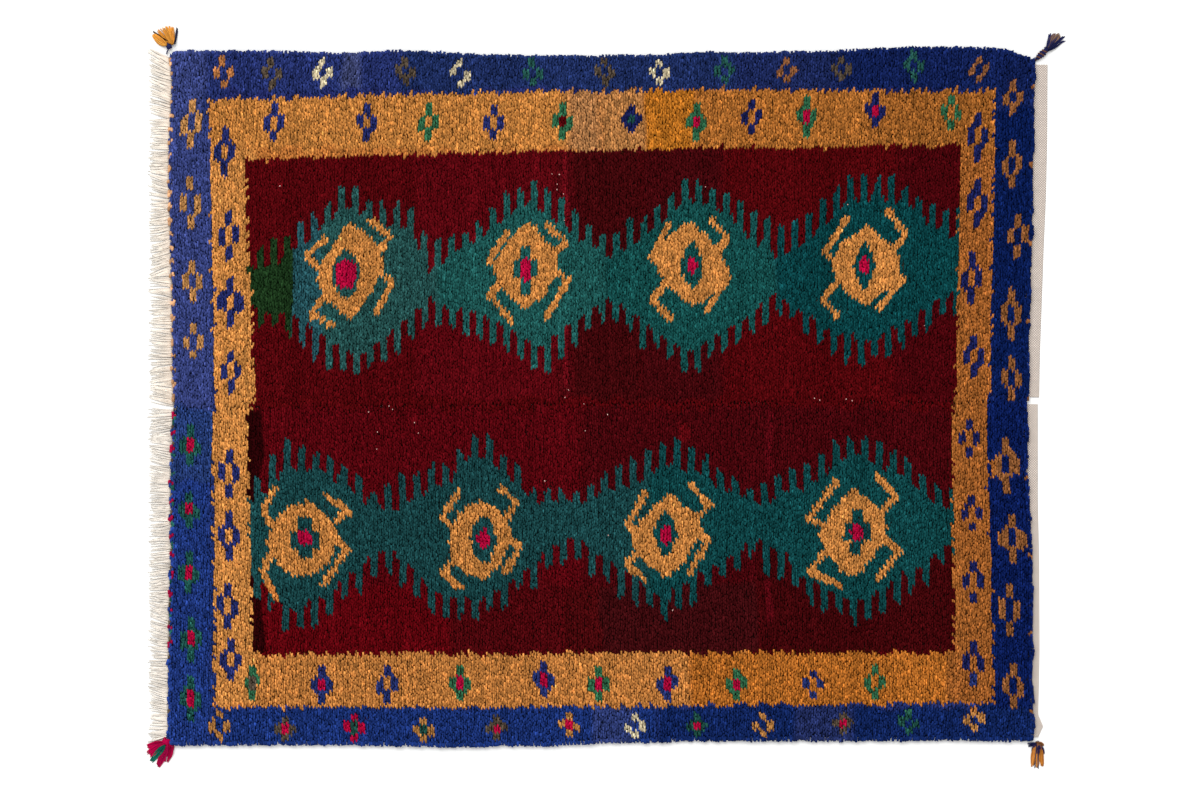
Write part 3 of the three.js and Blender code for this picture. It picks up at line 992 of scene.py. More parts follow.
@dataclass(frozen=True)
class Pattern:
    """Which wool each knot is tied in.

    Attributes:
        seed: Which of the weaver's slips.
        slip: How far a border strays from its line, along and across.
        tooth: Rows in a tooth of the combs, and in the notch beside it.
        tooth_slips: How far a tooth's tip, its notch and each row of it stray from their line.
        slant: How many rows a tooth leans by at its tip, at most.
        taper: How far up a tooth it starts to narrow, and the share of its width lost at the tip.
        hook_width: Half the width of a hook.
        rough: How unevenly a crab's edge is tied, as a share of its size.
        cross: Half the width of a cross's upright and of its level arm, as shares of its own size.
        waver: How a batch's west and east edges stray.
        rise: How its south and north edges stray.
        batch_edge: Half the width over which it fades in at those.
        blue_far, blue_near: The blue border's inner edge on the far side and the near, x and y.
        gold_far, gold_near: The gold border's.
        blue_west, blue_east: The blue border's by the fringe and by the flatwoven end, y and x.
        gold_west, gold_east: The gold border's.
    """

    seed: int = 11
    slip: float = 2.1
    tooth: int = 2
    tooth_slips: tuple[float, float, float] = (6.0, 4.0, 2.6)
    slant: float = 0.6
    taper: Pair = (0.65, 0.3)
    hook_width: float = 7.4
    rough: Drift = Drift(0.07, 16)
    cross: Pair = (0.42, 0.4)
    waver: Drift = Drift(7, 60)
    rise: Drift = Drift(14, 24)
    batch_edge: float = 6.0
    blue_far: Line = ((-896, 671), (-396, 687), (99, 695), (875, 693))
    blue_near: Line = ((-880, -695), (0, -693), (875, -684))
    gold_far: Line = ((-812, 538), (-92, 558), (797, 571))
    gold_near: Line = ((-795, -575), (782, -570))
    blue_west: Line = ((-691, -880), (-38, -885), (0, -880), (671, -894))
    blue_east: Line = ((-684, 875), (-9, 855), (0, 864), (693, 875))
    gold_west: Line = ((-571, -795), (-31, -807), (0, -790), (538, -812))
    gold_east: Line = ((-567, 782), (-9, 777), (0, 785), (571, 797))

    def wool(self, panel: Panel, knots: Places) -> Array:
        """Goes through the design from the ground up, so that a later motif covers an earlier one."""
        row, x, y = knots.row, knots.x, knots.y
        slips = np.random.default_rng(self.seed + panel.rows)
        by_row = slips.normal(0, self.slip, panel.rows + 2)[np.clip(row.astype(int), 0, panel.rows)]
        knot = np.clip(np.abs(y / KNOT_SPACING).astype(int), 0, KNOT_SLIPS - 1)
        by_knot = slips.normal(0, self.slip, KNOT_SLIPS)[knot]
        across, over = x + by_knot, y + by_row
        gold = (over < along(self.blue_far, x)) & (over > along(self.blue_near, x))
        gold &= (across > along(self.blue_west, y)) & (across < along(self.blue_east, y))
        field_area = (over < along(self.gold_far, x)) & (over > along(self.gold_near, x))
        field_area &= (across > along(self.gold_west, y)) & (across < along(self.gold_east, y))
        wool = np.full(x.shape, int(INDIGO))
        wool[gold] = GOLD
        wool[field_area] = CRIMSON
        upper = panel.side is Side.UPPER
        comb = self.in_comb(UPPER_COMB if upper else LOWER_COMB, panel, knots)
        wool[comb & field_area] = TEAL
        for crab in UPPER_CRABS if upper else LOWER_CRABS:
            self.draw_crab(crab, wool, knots)
        for flower in FLOWERS:
            if (flower.y > 0) == upper:
                self.draw_flower(flower, panel, wool, knots)
        return wool

    def in_comb(self, comb: Comb, panel: Panel, knots: Places) -> Array:
        """Tells which knots lie in the toothed band: between the notches, or to the tips in a tooth.

        A tooth is two rows wide, and leans and narrows towards its tip: by its own slant times the
        share of its height, and by the rise 3t² - 2t³ over the last of it.
        """
        row, x, y = knots.row, knots.x, knots.y
        period = 2 * self.tooth
        base = row - panel.first_tooth + 1
        number = np.floor(base / period).astype(int) + FIRST_SLIP
        offset = np.mod(base, period) - 1 - self.tooth / 2
        pitch = PILE_LENGTH / panel.rows
        slips = np.random.default_rng(self.seed + 5 * panel.rows)
        tip_slip, notch_slip, row_slip = self.tooth_slips
        inside = np.ones(x.shape, bool)
        for side, line in ((1, comb.north), (-1, comb.south)):
            places, tips, notches = (np.array(column) for column in zip(*line))
            by_tooth = slips.normal(0, 1, (2, TOOTH_SLIPS))[:, number]
            slant = slips.uniform(-self.slant, self.slant, TOOTH_SLIPS)[number]
            by_row = slips.normal(0, row_slip, panel.rows + 2)[row.astype(int)]
            tip = np.interp(x - offset * pitch, places, tips) + tip_slip * by_tooth[0] + by_row
            notch = np.interp(x, places, notches) + notch_slip * by_tooth[1] + by_row
            height = np.clip((y - notch) / (tip - notch), 0, 1)
            half = self.tooth / 2 * (1 - self.taper[1] * smooth_step(self.taper[0], 1.0, height))
            tooth = np.abs(offset - slant * height) < half
            inside &= side * y < side * np.where(tooth, tip, notch)
        return inside

    def draw_crab(self, crab: Crab, wool: Array, knots: Places) -> None:
        """Ties a large motif: its hooks, its body, the opening in that, and the eye.

        A rounded diamond is where |x / a| ** p + |y / b| ** p is below 1, with y sheared by the lean.
        """
        dx, dy = knots.x - crab.x, knots.y - crab.y
        rough = 1 + self.rough.at(knots.x, knots.y, self.seed + 1)
        for hook in crab.hooks:
            for start, end in ((hook.root, hook.elbow), (hook.elbow, hook.tip)):
                run = (end[0] - start[0], end[1] - start[1])
                share = ((dx - start[0]) * run[0] + (dy - start[1]) * run[1]) / (run[0] ** 2 + run[1] ** 2)
                share = np.clip(share, 0, 1)
                away = np.hypot(dx - start[0] - share * run[0], dy - start[1] - share * run[1])
                wool[away < self.hook_width * rough] = GOLD
        level = dy - crab.lean * dx
        power = crab.roundness
        body = np.abs(dx / crab.half[0]) ** power + np.abs(level / crab.half[1]) ** power
        wool[body < rough] = GOLD
        ox, oy = dx - crab.opening_at[0], dy - crab.opening_at[1]
        wide, tall = crab.opening
        if crab.hollow is Hollow.CROSS:
            upright = (np.abs(ox) < self.cross[0] * wide) & (np.abs(oy) < tall)
            level_arm = (np.abs(ox) < wide) & (np.abs(oy) < self.cross[1] * tall)
            wool[upright | level_arm] = TEAL
        else:
            opening = np.abs(ox / wide) ** power + np.abs(oy / tall) ** power
            wool[opening < rough] = TEAL
        eye = (ox / crab.eye[0]) ** 2 + (oy / crab.eye[1]) ** 2
        wool[eye < rough] = MAGENTA

    def draw_flower(self, flower: Flower, panel: Panel, wool: Array, knots: Places) -> None:
        """Ties a small flower: two rows of stem and heart in the middle, and petals in the rows beside.

        p and q are a knot's shares of the way from the middle to the flower's edge, along and across.
        A petal reaches up to a height q that falls evenly with p. A diamond is where p and q add up
        to less than about 1.
        """
        dx, dy = knots.x - flower.x, knots.y - flower.y
        near = (np.abs(dx) < flower.width) & (np.abs(dy) < flower.height)
        pitch = PILE_LENGTH / panel.rows
        middle = np.round(panel.row_at(np.array(flower.x), np.array(flower.y)))
        rows_wide = max(2, round(flower.width / 2 / pitch))
        off = knots.row - middle
        # Each flower is a little askew, by an amount that its place settles
        askew = 0.08 * math.sin(flower.x * 1.7 + flower.y * 0.9)
        p = np.abs(off) / rows_wide
        q = dy / (flower.height / 2)
        shifted = np.abs(q + askew * np.sign(off))
        q = np.abs(q)
        inner = np.abs(off) < 1
        reach, fall, heart_reach = FLOWER_SHAPES[flower.form]
        if flower.form is SOLID:
            drawn = p * fall + q < reach
        else:
            stem = inner & (q > heart_reach) & (q < 1)
            petal = ~inner & (p < 1.02) & (shifted < reach - fall * p)
            drawn = stem | petal
        heart = inner & (q < heart_reach)
        wool[near & drawn] = flower.dye
        if flower.heart is not None:
            wool[near & heart] = flower.heart

    def colour(self, wool: Array, x: Array, y: Array) -> Array:
        """What each knot's wool looks like: its own colour, then that of each batch that reaches it.

        A batch fades in by the rise 3t² - 2t³, over its own soft width at its west and east edges.

        Args:
            wool: The number of each knot's wool.
            x: Its place along the rug.
            y: Its place across the rug.

        Returns:
            A linear colour for each knot.
        """
        palette = np.array([linear(WOOLS[dye]) for dye in Dye])
        colour = palette[wool]
        across = x + self.waver.at(x, y, self.seed + 2)
        over = y + self.rise.at(x, y, self.seed + 3)
        edge = self.batch_edge
        for batch in BATCHES:
            half = batch.soft / 2
            share = smooth_step(batch.west - half, batch.west + half, across)
            share = share * (1 - smooth_step(batch.east - half, batch.east + half, across))
            share = share * smooth_step(batch.south - edge, batch.south + edge, over)
            share = share * (1 - smooth_step(batch.north - edge, batch.north + edge, over))
            share = np.where(wool == batch.dye, share, 0)[:, None]
            colour = colour * (1 - share) + linear(batch.colour) * share
        return colour


def brightness(tree: Tree, texture: Socket, spread: float, tones: Pair) -> Socket:
    """Turns a texture into a factor: values from 0.5 - spread to 0.5 + spread give the two tones.

    Args:
        tree: The material's node tree.
        texture: The texture's values, round 0.5.
        spread: How far most of them lie from that.
        tones: The darkest factor and the lightest.

    Returns:
        The factor.
    """
    limits = {"From Min": 0.5 - spread, "From Max": 0.5 + spread, "To Min": tones[0], "To Max": tones[1]}
    return add_node(tree, "ShaderNodeMapRange", limits, {"Value": texture}).outputs[0]


def product(tree: Tree, first: Socket, second: Socket) -> Socket:
    """Multiplies one value by another."""
    return add_node(tree, "ShaderNodeMath", {"operation": "MULTIPLY"}, {0: first, 1: second}).outputs[0]


def lumps(tree: Tree, place: Socket, size: float, **settings: float) -> Socket:
    """Noise whose lumps are about so many millimetres across: its scale is one over their size."""
    scale = {"Scale": 1 / (size * MM), **settings}
    return add_node(tree, "ShaderNodeTexNoise", scale, {"Vector": place}).outputs[0]


def bumps(tree: Tree, height: Socket, depth: float, strength: float) -> Socket:
    """Bends the light as if the surface rose and fell by a depth in millimetres."""
    settings = {"Strength": strength, "Distance": depth * MM}
    return add_node(tree, "ShaderNodeBump", settings, {"Height": height}).outputs[0]


def at_brightness(tree: Tree, colour: Socket, factor: Socket) -> Socket:
    """Multiplies a colour by a factor."""
    links = {0: colour, "Scale": factor}
    return add_node(tree, "ShaderNodeVectorMath", {"operation": "SCALE"}, links).outputs[0]


@dataclass(frozen=True)
class Finish:
    """What a piece is made of. Pieces of the same finish share one material.

    Attributes:
        name: The material's name.
        slot: A short name for it, which the pile's pieces are named by.
    """

    name: str
    slot: str

    def material(self) -> bpy.types.Material:
        """Finds the material by its name, or builds it where there is none."""
        made = bpy.data.materials.get(self.name)
        if made is not None:
            return made
        material = bpy.data.materials.new(self.name)
        material.use_nodes = True
        material.node_tree.nodes.clear()
        surface = self.surface(material.node_tree)
        add_node(material.node_tree, "ShaderNodeOutputMaterial", {}, {"Surface": surface})
        return material

    def surface(self, tree: Tree) -> Socket:
        """Builds the look of the finish, which each kind has its own way to do."""
        raise NotImplementedError


@dataclass(frozen=True)
class Paper(Finish):
    """Matt paper without any texture, which gives the eye an even backdrop.

    Attributes:
        slot: Empty, as it is no part of the rug.
        colour: Its colour.
    """

    slot: str = ""
    colour: str = "#f4f4f3"

    def surface(self, tree: Tree) -> Socket:
        """Builds a plain surface that scatters light evenly."""
        return add_node(tree, "ShaderNodeBsdfDiffuse", {"Color": (*linear(self.colour), 1.0)}).outputs[0]


@dataclass(frozen=True)
class PileWool(Finish):
    """Hand-knotted wool pile: cut yarn ends, soft, deep and dull; tips get painted light and roots painted
    shade.

    Attributes:
        fibre: The width of a ply of the yarn. Real fibres are 0.03 mm, far too fine to show, so it is
            drawn as the plies that a cut end opens into.
        drawn_out: The plies' width as a share of their length, which runs across the rug.
        clump: The size of the patches where the yarn was spun lighter or darker.
        relief: How deep the plies are.
        roughness: Wool scatters light widely.
        mottle: How much lighter and darker the plies are.
        clump_tones: The darkest of the patches and the lightest.
        spread: How much a tuft's brightness differs from the next one's, as a natural logarithm.
    """

    fibre: float = 1.9
    drawn_out: float = 0.28
    clump: float = 11.0
    relief: float = 0.35
    roughness: float = 0.95
    mottle: float = 0.3
    clump_tones: Pair = (0.92, 1.08)
    spread: float = 0.26

    def surface(self, tree: Tree) -> Socket:
        """Builds the look: the knots' own colours, broken up by fine plies and wider clumps."""
        place = add_node(tree, "ShaderNodeTexCoord")
        dye = add_node(tree, "ShaderNodeAttribute", {"attribute_name": "dye"})
        stretched = add_node(
            tree,
            "ShaderNodeMapping",
            {"Scale": (1.0, self.drawn_out, self.drawn_out)},
            {"Vector": place.outputs["Object"]},
        )
        plies = lumps(tree, stretched.outputs[0], self.fibre, Detail=2.0, Roughness=0.6)
        clumps = lumps(tree, place.outputs["Object"], self.clump, Detail=1.0)
        fine = brightness(tree, plies, 0.25, (1 - self.mottle, 1 + self.mottle))
        wide = brightness(tree, clumps, 0.2, self.clump_tones)
        tinted = at_brightness(tree, dye.outputs["Color"], product(tree, fine, wide))
        wool = add_node(
            tree,
            "ShaderNodeBsdfPrincipled",
            {"Roughness": self.roughness, "IOR": 1.55, "Specular IOR Level": 0.0},
            {"Base Color": tinted, "Normal": bumps(tree, plies, self.relief, 0.7)},
        )
        return wool.outputs[0]


@dataclass(frozen=True)
class RibbedCloth(Finish):
    """Woven cloth with ribs: undyed weft beaten over stretched warps, or the knotted back of the pile.

    It gives the eye fine even lines, dull and slightly uneven.

    Attributes:
        colour: Its colour, or None where the attribute "dye" gives it.
        rib: The spacing of the ribs along the rug.
        weft: The spacing of the threads across it.
        relief: How deep the ribs are.
        slub: The size of the patches where the threads are thicker or thinner.
        slub_tones: The darkest of those patches and the lightest.
        turn: How far the threads are turned, in degrees: plain cloth looks like slanting dots.
        mottle: How dark the gaps between the threads are, as painted shade, and how light the threads.
    """

    colour: str | None
    rib: float
    weft: float
    relief: float = 0.5
    slub: float = 14.0
    slub_tones: Pair = (0.93, 1.05)
    turn: float = 0.0
    mottle: Pair = (0.74, 1.04)

    def surface(self, tree: Tree) -> Socket:
        """Builds the look: two sets of waves cross as threads, and noise makes them uneven."""
        place = add_node(tree, "ShaderNodeTexCoord")
        turned = add_node(
            tree,
            "ShaderNodeMapping",
            {"Rotation": (0.0, 0.0, math.radians(self.turn))},
            {"Vector": place.outputs["Object"]},
        )
        ribs = self.threads(tree, turned.outputs[0], self.rib, "X")
        weave = product(tree, ribs, self.threads(tree, turned.outputs[0], self.weft, "Y"))
        slubs = lumps(tree, place.outputs["Object"], self.slub, Detail=3.0)
        # Painted shade darkens the gaps between the threads
        tone = brightness(tree, weave, 0.5, self.mottle)
        tones = {"Scale": product(tree, tone, brightness(tree, slubs, 0.2, self.slub_tones))}
        ground = add_node(tree, "ShaderNodeVectorMath", {"operation": "SCALE"}, tones)
        if self.colour is None:
            dye = add_node(tree, "ShaderNodeAttribute", {"attribute_name": "dye"})
            tree.links.new(dye.outputs["Color"], ground.inputs[0])
        else:
            ground.inputs[0].default_value = linear(self.colour)
        cloth = add_node(
            tree,
            "ShaderNodeBsdfPrincipled",
            {"Roughness": 0.9, "IOR": 1.53, "Specular IOR Level": 0.2, "Sheen Weight": 0.08},
            {"Base Color": ground.outputs[0], "Normal": bumps(tree, weave, self.relief, 0.8)},
        )
        return cloth.outputs[0]

    def threads(self, tree: Tree, place: Socket, spacing: float, direction: str) -> Socket:
        """Builds one set of threads: a wave texture's lines lie pi / 10 of its unit apart."""
        waves = add_node(
            tree,
            "ShaderNodeTexWave",
            {
                "wave_type": "BANDS",
                "bands_direction": direction,
                "Scale": math.pi / 10 / (spacing * MM),
                "Distortion": 0.6,
                "Detail": 1.0,
                "Detail Scale": 2.0,
            },
            {"Vector": place},
        )
        return waves.outputs["Fac"]


PILE_WOOLS = {
    CRIMSON: PileWool("wool pile, madder crimson", "crimson_pile", spread=0.18),
    INDIGO: PileWool("wool pile, indigo", "indigo_pile"),
    GOLD: PileWool("wool pile, golden ochre", "gold_pile"),
    TEAL: PileWool("wool pile, dark teal", "teal_pile"),
    GREEN: PileWool("wool pile, green", "green_pile"),
    MAGENTA: PileWool("wool pile, magenta", "magenta_pile", spread=0.15),
    IVORY: PileWool("wool pile, undyed cream", "ivory_pile"),
    BROWN: PileWool("wool pile, brown", "brown_pile"),
}
KNOTTED_BACK = RibbedCloth("knotted wool back", "crimson_pile", None, 7.8, 6.4)
FLATWEAVE = RibbedCloth(
    "undyed wool flatweave", "undyed_flatweave", "#dccec3", 3.9, 3.9, turn=45.0, mottle=(0.45, 1.5)
)
WARP_YARN = PileWool(
    "twisted undyed wool warp", "undyed_warp", fibre=1.4, clump=20.0, relief=0.15, mottle=0.09
)
SEWING_THREAD = PileWool("sewing thread", "brown_pile", fibre=0.8, relief=0.15)
BACKDROP = Paper("matt white backdrop paper")


@dataclass
class GroundWeave:
    """The woven cloth that the knots are tied in: a thin closed sheet, with the pattern on its back.

    Attributes:
        panel: The panel.
        pattern: The design.
        cell: The size of its faces.
        inset: How far its edges lie inside the pile's outline.
        ripple: How its face rises and falls.
        painted_shades: How dark its face is under the pile, as painted shade, and how light its back.
    """

    panel: Panel
    pattern: Pattern
    cell: float = 16.0
    inset: float = 5.0
    ripple: Drift = Drift(0.35, 55)
    painted_shades: Pair = (0.8, 1.2)

    def build(self) -> Piece:
        """Lays a grid of the panel's shares u and v, once at its top and once on the floor."""
        wide = round(PILE_LENGTH / self.cell)
        deep = round(WEAVE_DEPTH / self.cell)
        u = np.linspace(self.inset / WEAVE_LENGTH, 1 - self.inset / WEAVE_LENGTH, wide)
        v = np.linspace(0, 1 - self.inset / WEAVE_DEPTH, deep)
        v = v if self.panel.side is Side.UPPER else v[::-1]
        u, v = np.meshgrid(u, v, indexing="ij")
        x, y = self.panel.place(u, v)
        z = WEAVE_THICKNESS + self.ripple.at(x, y, 21)
        points, faces = closed_sheet(np.stack([x, y, z], 2))
        knots = Places(self.panel.row_at(x, y).ravel(), x.ravel(), y.ravel())
        colour = self.pattern.colour(self.pattern.wool(self.panel, knots), knots.x, knots.y)
        # Painted shade darkens the face under the pile, and the back is made lighter
        colours = np.concatenate([colour * self.painted_shades[0], colour * self.painted_shades[1]])
        return put_mesh(f"ground_weave_{self.panel.word}", points, faces, colours)


@dataclass
class Pile:
    """The knotted pile of one panel, one piece for each wool.

    Attributes:
        panel: The panel.
        pattern: The design.
        height: How high a tuft stands on its root.
        uneven: How much its height differs from the next one's, at random.
        nap: How far the tips lean, all the same way.
        stray: How far a tip strays by itself.
        apart: How far apart the two ends of a knot stand, as a share of the rows' spacing.
        across: Half a tuft's width along the rug, where a row is 7.8 mm from the next.
        over: Half its length in the row, where a knot is 7.6 mm from the next.
        ring_at: How far up a tuft is fullest.
        reach: How far the tips at the rim lean out of it.
        rim: How wide the rim is.
        drops: How much lower the pile is at its side, at its ends and at the seam.
        fuller: How much fuller a tuft is at the rim, where it lies lower and shows more of its side.
        gain: How much brighter the wool is than the pile looks, because tufts shade each other.
        painted_shades: A tuft's brightness at its root, its ring and its tip: painted shade darkens the
            root and painted light brightens the tip.
        painted_ply_shades: A loose ply's painted shade and light, at the same places.
        row_shade: How much a row's brightness differs from the next one's, as a logarithm.
        row_bands: How bands of rows differ, over a few rows and over several.
        stray_share: How many of the tufts also show a loose ply.
        ply_thickness: A loose ply's thickness, and that of an opened one at a worn place.
        corners: Corners round a tuft.
        along_rug: How the tufts lean along the rug with their neighbours, widely and closely.
        across_rug: The same across it.
        swell: How the pile's height rises and falls.
        dot_shift: How the dots at the west end stray from even spaces.
        east_waves: How the tufts clump at the east end.
        side_clumps: How they clump along the side, closely and widely.
        east_dots: The gold dots at the east end: how far in they reach, where one starts, their
            spacing and their length.
    """

    panel: Panel
    pattern: Pattern
    height: float = 12.2
    uneven: float = 0.75
    nap: float = 3.6
    stray: float = 0.9
    apart: float = 0.46
    across: float = 1.95
    over: float = 4.5
    ring_at: float = 0.85
    reach: float = 6.0
    rim: float = 13.0
    drops: tuple[float, float, float] = (3.6, 2.6, 3.0)
    fuller: float = 0.55
    gain: float = 1.12
    # Painted shade darkens a tuft's root and painted light brightens its tip; a loose ply's likewise
    painted_shades: tuple[float, float, float] = (0.45, 0.92, 1.08)
    painted_ply_shades: tuple[float, float, float] = (0.8, 1.0, 1.12)
    row_shade: float = 0.05
    row_bands: tuple[Drift, Drift] = (Drift(0.07, 3), Drift(0.05, 9))
    stray_share: float = 0.03
    ply_thickness: Pair = (0.85, 1.5)
    corners: int = 4
    along_rug: tuple[Drift, Drift] = (Drift(1.7, 60), Drift(0.9, 17))
    across_rug: tuple[Drift, Drift] = (Drift(1.9, 80), Drift(1.2, 19))
    swell: Drift = Drift(0.9, 42)
    dot_shift: Drift = Drift(5, 90)
    east_waves: Drift = Drift(0.8, 27)
    side_clumps: tuple[Drift, Drift] = (Drift(0.75, 12), Drift(0.3, 50))
    east_dots: tuple[float, float, float, float] = (6.0, -6.0, 176.0, 9.0)
    rng: np.random.Generator = field(init=False)

    def __post_init__(self) -> None:
        """Seeds the weaver's hand, so that every run ties the same pile."""
        self.rng = np.random.default_rng(70 + self.panel.rows)

    def knots(self) -> dict[str, Array]:
        """Sets out the two ends of each knot: rows from west to east, each shifted along itself by a
        share of a knot, with the second end half a knot further on.

        Returns:
            Arrays by name: the row, the knot's x and y, the end's x and y, and how far inside each
            edge it stands.
        """
        panel = self.panel
        counts = (np.arange(panel.rows), np.arange(panel.knots), np.array([-0.5, 0.5]))
        row, knot, end = (count.ravel() for count in np.meshgrid(*counts, indexing="ij"))
        shift = self.rng.uniform(-0.4, 0.4, panel.rows)[row] + 0.5 * end
        u = (row + 0.5 + self.apart * end + self.rng.normal(0, 0.05, row.shape)) / panel.rows
        v = (knot + 0.5 + shift + self.rng.normal(0, 0.08, row.shape)) / panel.knots
        v = np.clip(v, 0.003, 0.993)
        x, y = panel.place(u, v)
        knot_x, knot_y = panel.place((row + 0.5) / panel.rows, (knot + 0.5) / panel.knots)
        return {
            "row": row + 0.5,
            "knot_x": knot_x,
            "knot_y": knot_y,
            "x": x,
            "y": y,
            "seam": v * PILE_DEPTH,
            "outer": (1 - v) * PILE_DEPTH,
            "west": u * PILE_LENGTH,
            "east": (1 - u) * PILE_LENGTH,
        }

    def shape(self, knots: dict[str, Array]) -> dict[str, Array]:
        """Shapes each tuft: it leans with the nap, with its neighbours, a little by itself, and out at
        the rim, by 1 - d / rim, where d is its distance from the edge.

        Args:
            knots: The knots, as set out.

        Returns:
            Arrays by name: root, ring and tip points, and the lean of each tuft.
        """
        x, y, count = knots["x"], knots["y"], len(knots["x"])
        seed = 40 + self.panel.rows
        rims = {
            name: np.clip(1 - knots[name] / self.rim, 0, 1) for name in ("outer", "west", "east", "seam")
        }
        wide, close = self.along_rug
        east = wide.at(x, y, seed) + close.at(x, y, seed + 1)
        wide, close = self.across_rug
        north = -self.nap + wide.at(x, y, seed + 2) + close.at(x, y, seed + 3)
        lean = np.stack([east, north], 1)
        lean += self.rng.normal(0, self.stray, (count, 2))
        # Tufts clump at the rim: between its dots at the west end, in slow waves at the east, ragged beside
        scallops = 0.8 * np.cos(2 * math.pi * (self.rim_beat(y) - 0.17))
        waves = self.east_waves.on(y, seed + 6)
        clumps = self.side_clumps[0].on(x, seed + 7) + self.side_clumps[1].on(x, seed + 8)
        lean[:, 0] += self.reach * (rims["east"] * (0.9 + waves) - rims["west"] * (0.7 + scallops))
        lean[:, 1] += self.panel.side * self.reach * rims["outer"] * (0.9 + clumps)
        lean[:, 1] -= self.panel.side * 1.5 * rims["seam"]
        height = self.height + self.swell.at(x, y, seed + 4) + self.rng.normal(0, self.uneven, count)
        side_drop, end_drop, seam_drop = self.drops
        height -= side_drop * rims["outer"] + end_drop * (rims["west"] + rims["east"])
        height -= seam_drop * rims["seam"] ** 2
        root = np.stack([x, y, np.full(count, ROOT_HEIGHT)], 1)
        tip = root + np.concatenate([lean, height[:, None]], 1)
        middle = root + np.concatenate([0.55 * lean, self.ring_at * height[:, None]], 1)
        fuller = 1 + self.fuller * np.maximum(rims["outer"], rims["west"] + rims["east"])
        across = self.across * self.rng.normal(1, 0.1, count) * fuller
        over = self.over * self.rng.normal(1, 0.12, count) * fuller**0.3
        angle = 2 * math.pi * (np.arange(self.corners) + 0.5) / self.corners
        angle = angle + self.rng.normal(0, 0.12, (count, 1))
        bulge = math.sqrt(2) * self.rng.normal(1, 0.1, (count, self.corners))
        east = across[:, None] * bulge * np.cos(angle)
        north = over[:, None] * bulge * np.sin(angle)
        tilt = -(east * lean[:, :1] + north * lean[:, 1:]) / height[:, None]
        ring = middle[:, None] + np.stack([east, north, 0.8 * tilt], 2)
        ring[..., 2] = np.maximum(ring[..., 2], LOWEST_WOOL)
        return {"root": root, "ring": ring, "tip": tip, "lean": lean, "height": height}

    def loose_plies(self, shape: dict[str, Array], chosen: Array, worn: Array) -> dict[str, Array]:
        """Shapes the thin plies that stand out of some tufts, each from its tuft's ring outwards.

        Args:
            shape: The tufts.
            chosen: Which of them have one.
            worn: Which of them are worn: their plies have opened and are thicker.

        Returns:
            Arrays by name: root, ring and tip points.
        """
        count = int(chosen.sum())
        heading = self.rng.normal(-0.5 * math.pi, 0.9, count)
        length = self.rng.uniform(3.5, 8.0, count)
        start = shape["tip"][chosen] * 0.5 + shape["root"][chosen] * 0.5
        rise = shape["height"][chosen] * 0.5 + self.rng.uniform(-0.8, 1.0, count) + 2.2 * worn[chosen]
        run = np.stack([np.cos(heading) * length, np.sin(heading) * length, rise], 1)
        tip = start + run
        angle = 2 * math.pi * (np.arange(PLY_CORNERS) + self.rng.uniform(0, 1, (count, 1))) / PLY_CORNERS
        ring = np.stack([np.cos(angle), 1.3 * np.sin(angle), np.zeros(angle.shape)], 2)
        thick = np.where(worn[chosen], self.ply_thickness[1], self.ply_thickness[0])[:, None, None]
        ring = start[:, None] + 0.72 * run[:, None] + thick * ring
        return {"root": start, "ring": ring, "tip": tip}

    def build(self) -> list[Piece]:
        """Ties the pile, and parts it by its wools."""
        knots = self.knots()
        places = Places(knots["row"], knots["knot_x"], knots["knot_y"])
        wool = self.pattern.wool(self.panel, places)
        self.tie_rim(wool, knots)
        worn = self.worn_knots(knots)
        colour = self.pattern.colour(wool, knots["x"], knots["y"]) * self.gain
        spreads = np.array([PILE_WOOLS[dye].spread for dye in Dye])
        light = np.exp(self.rng.normal(0, 1, len(wool)) * spreads[wool])
        row = knots["row"]
        by_row = np.exp(self.rng.normal(0, self.row_shade, self.panel.rows))[row.astype(int)]
        by_row = by_row * (1 + self.row_bands[0].on(row, 77) + self.row_bands[1].on(row, 78))
        colour = colour * (light * by_row)[:, None]
        ply_colour = colour.copy()
        ply_colour[worn] = linear(FLECK_COLOUR)
        shape = self.shape(knots)
        loose = self.rng.uniform(0, 1, len(wool)) < self.stray_share
        pieces = []
        for dye, finish in PILE_WOOLS.items():
            mine = wool == dye
            if not mine.any():
                continue
            body = {name: value[mine] for name, value in shape.items()}
            frayed = mine & loose & ~worn | worn & (dye == IVORY)
            plies = self.loose_plies(shape, frayed, worn)
            points, faces = tufts(body["root"], body["ring"], body["tip"])
            more_points, more_faces = tufts(plies["root"], plies["ring"], plies["tip"])
            # Painted shade at the roots and painted light at the tips of the tufts and loose plies
            colours = self.with_painted_shade(colour[mine], self.painted_shades, self.corners)
            more_colours = self.with_painted_shade(ply_colour[frayed], self.painted_ply_shades, PLY_CORNERS)
            piece = put_mesh(
                f"{finish.slot}_{self.panel.word}",
                np.concatenate([points, more_points]),
                np.concatenate([faces, more_faces + len(points)]),
                np.clip(np.concatenate([colours, more_colours]), 0, LIGHTEST),
                star_patches([(len(body["root"]), self.corners), (len(plies["root"]), PLY_CORNERS)]),
            )
            pieces.append(dress(piece, finish))
        return pieces

    def with_painted_shade(self, colour: Array, painted_shades: tuple[float, float, float], corners: int) -> Array:
        """Colours the points of some tufts: each tuft's colour times its painted shade at the root, ring
        and tip.
        """
        by_point = np.repeat(painted_shades, (1, corners, 1))
        return (colour[:, None] * by_point[None, :, None]).reshape(-1, 3)

    def rim_beat(self, y: Array) -> Array:
        """How far a place at the west end is into the dots' spacing: the remainder of y, shifted by
        slow noise, as a share of it.
        """
        spacing = self.panel.dot_spacing
        return np.mod(y + self.dot_shift.on(y, 79), spacing) / spacing

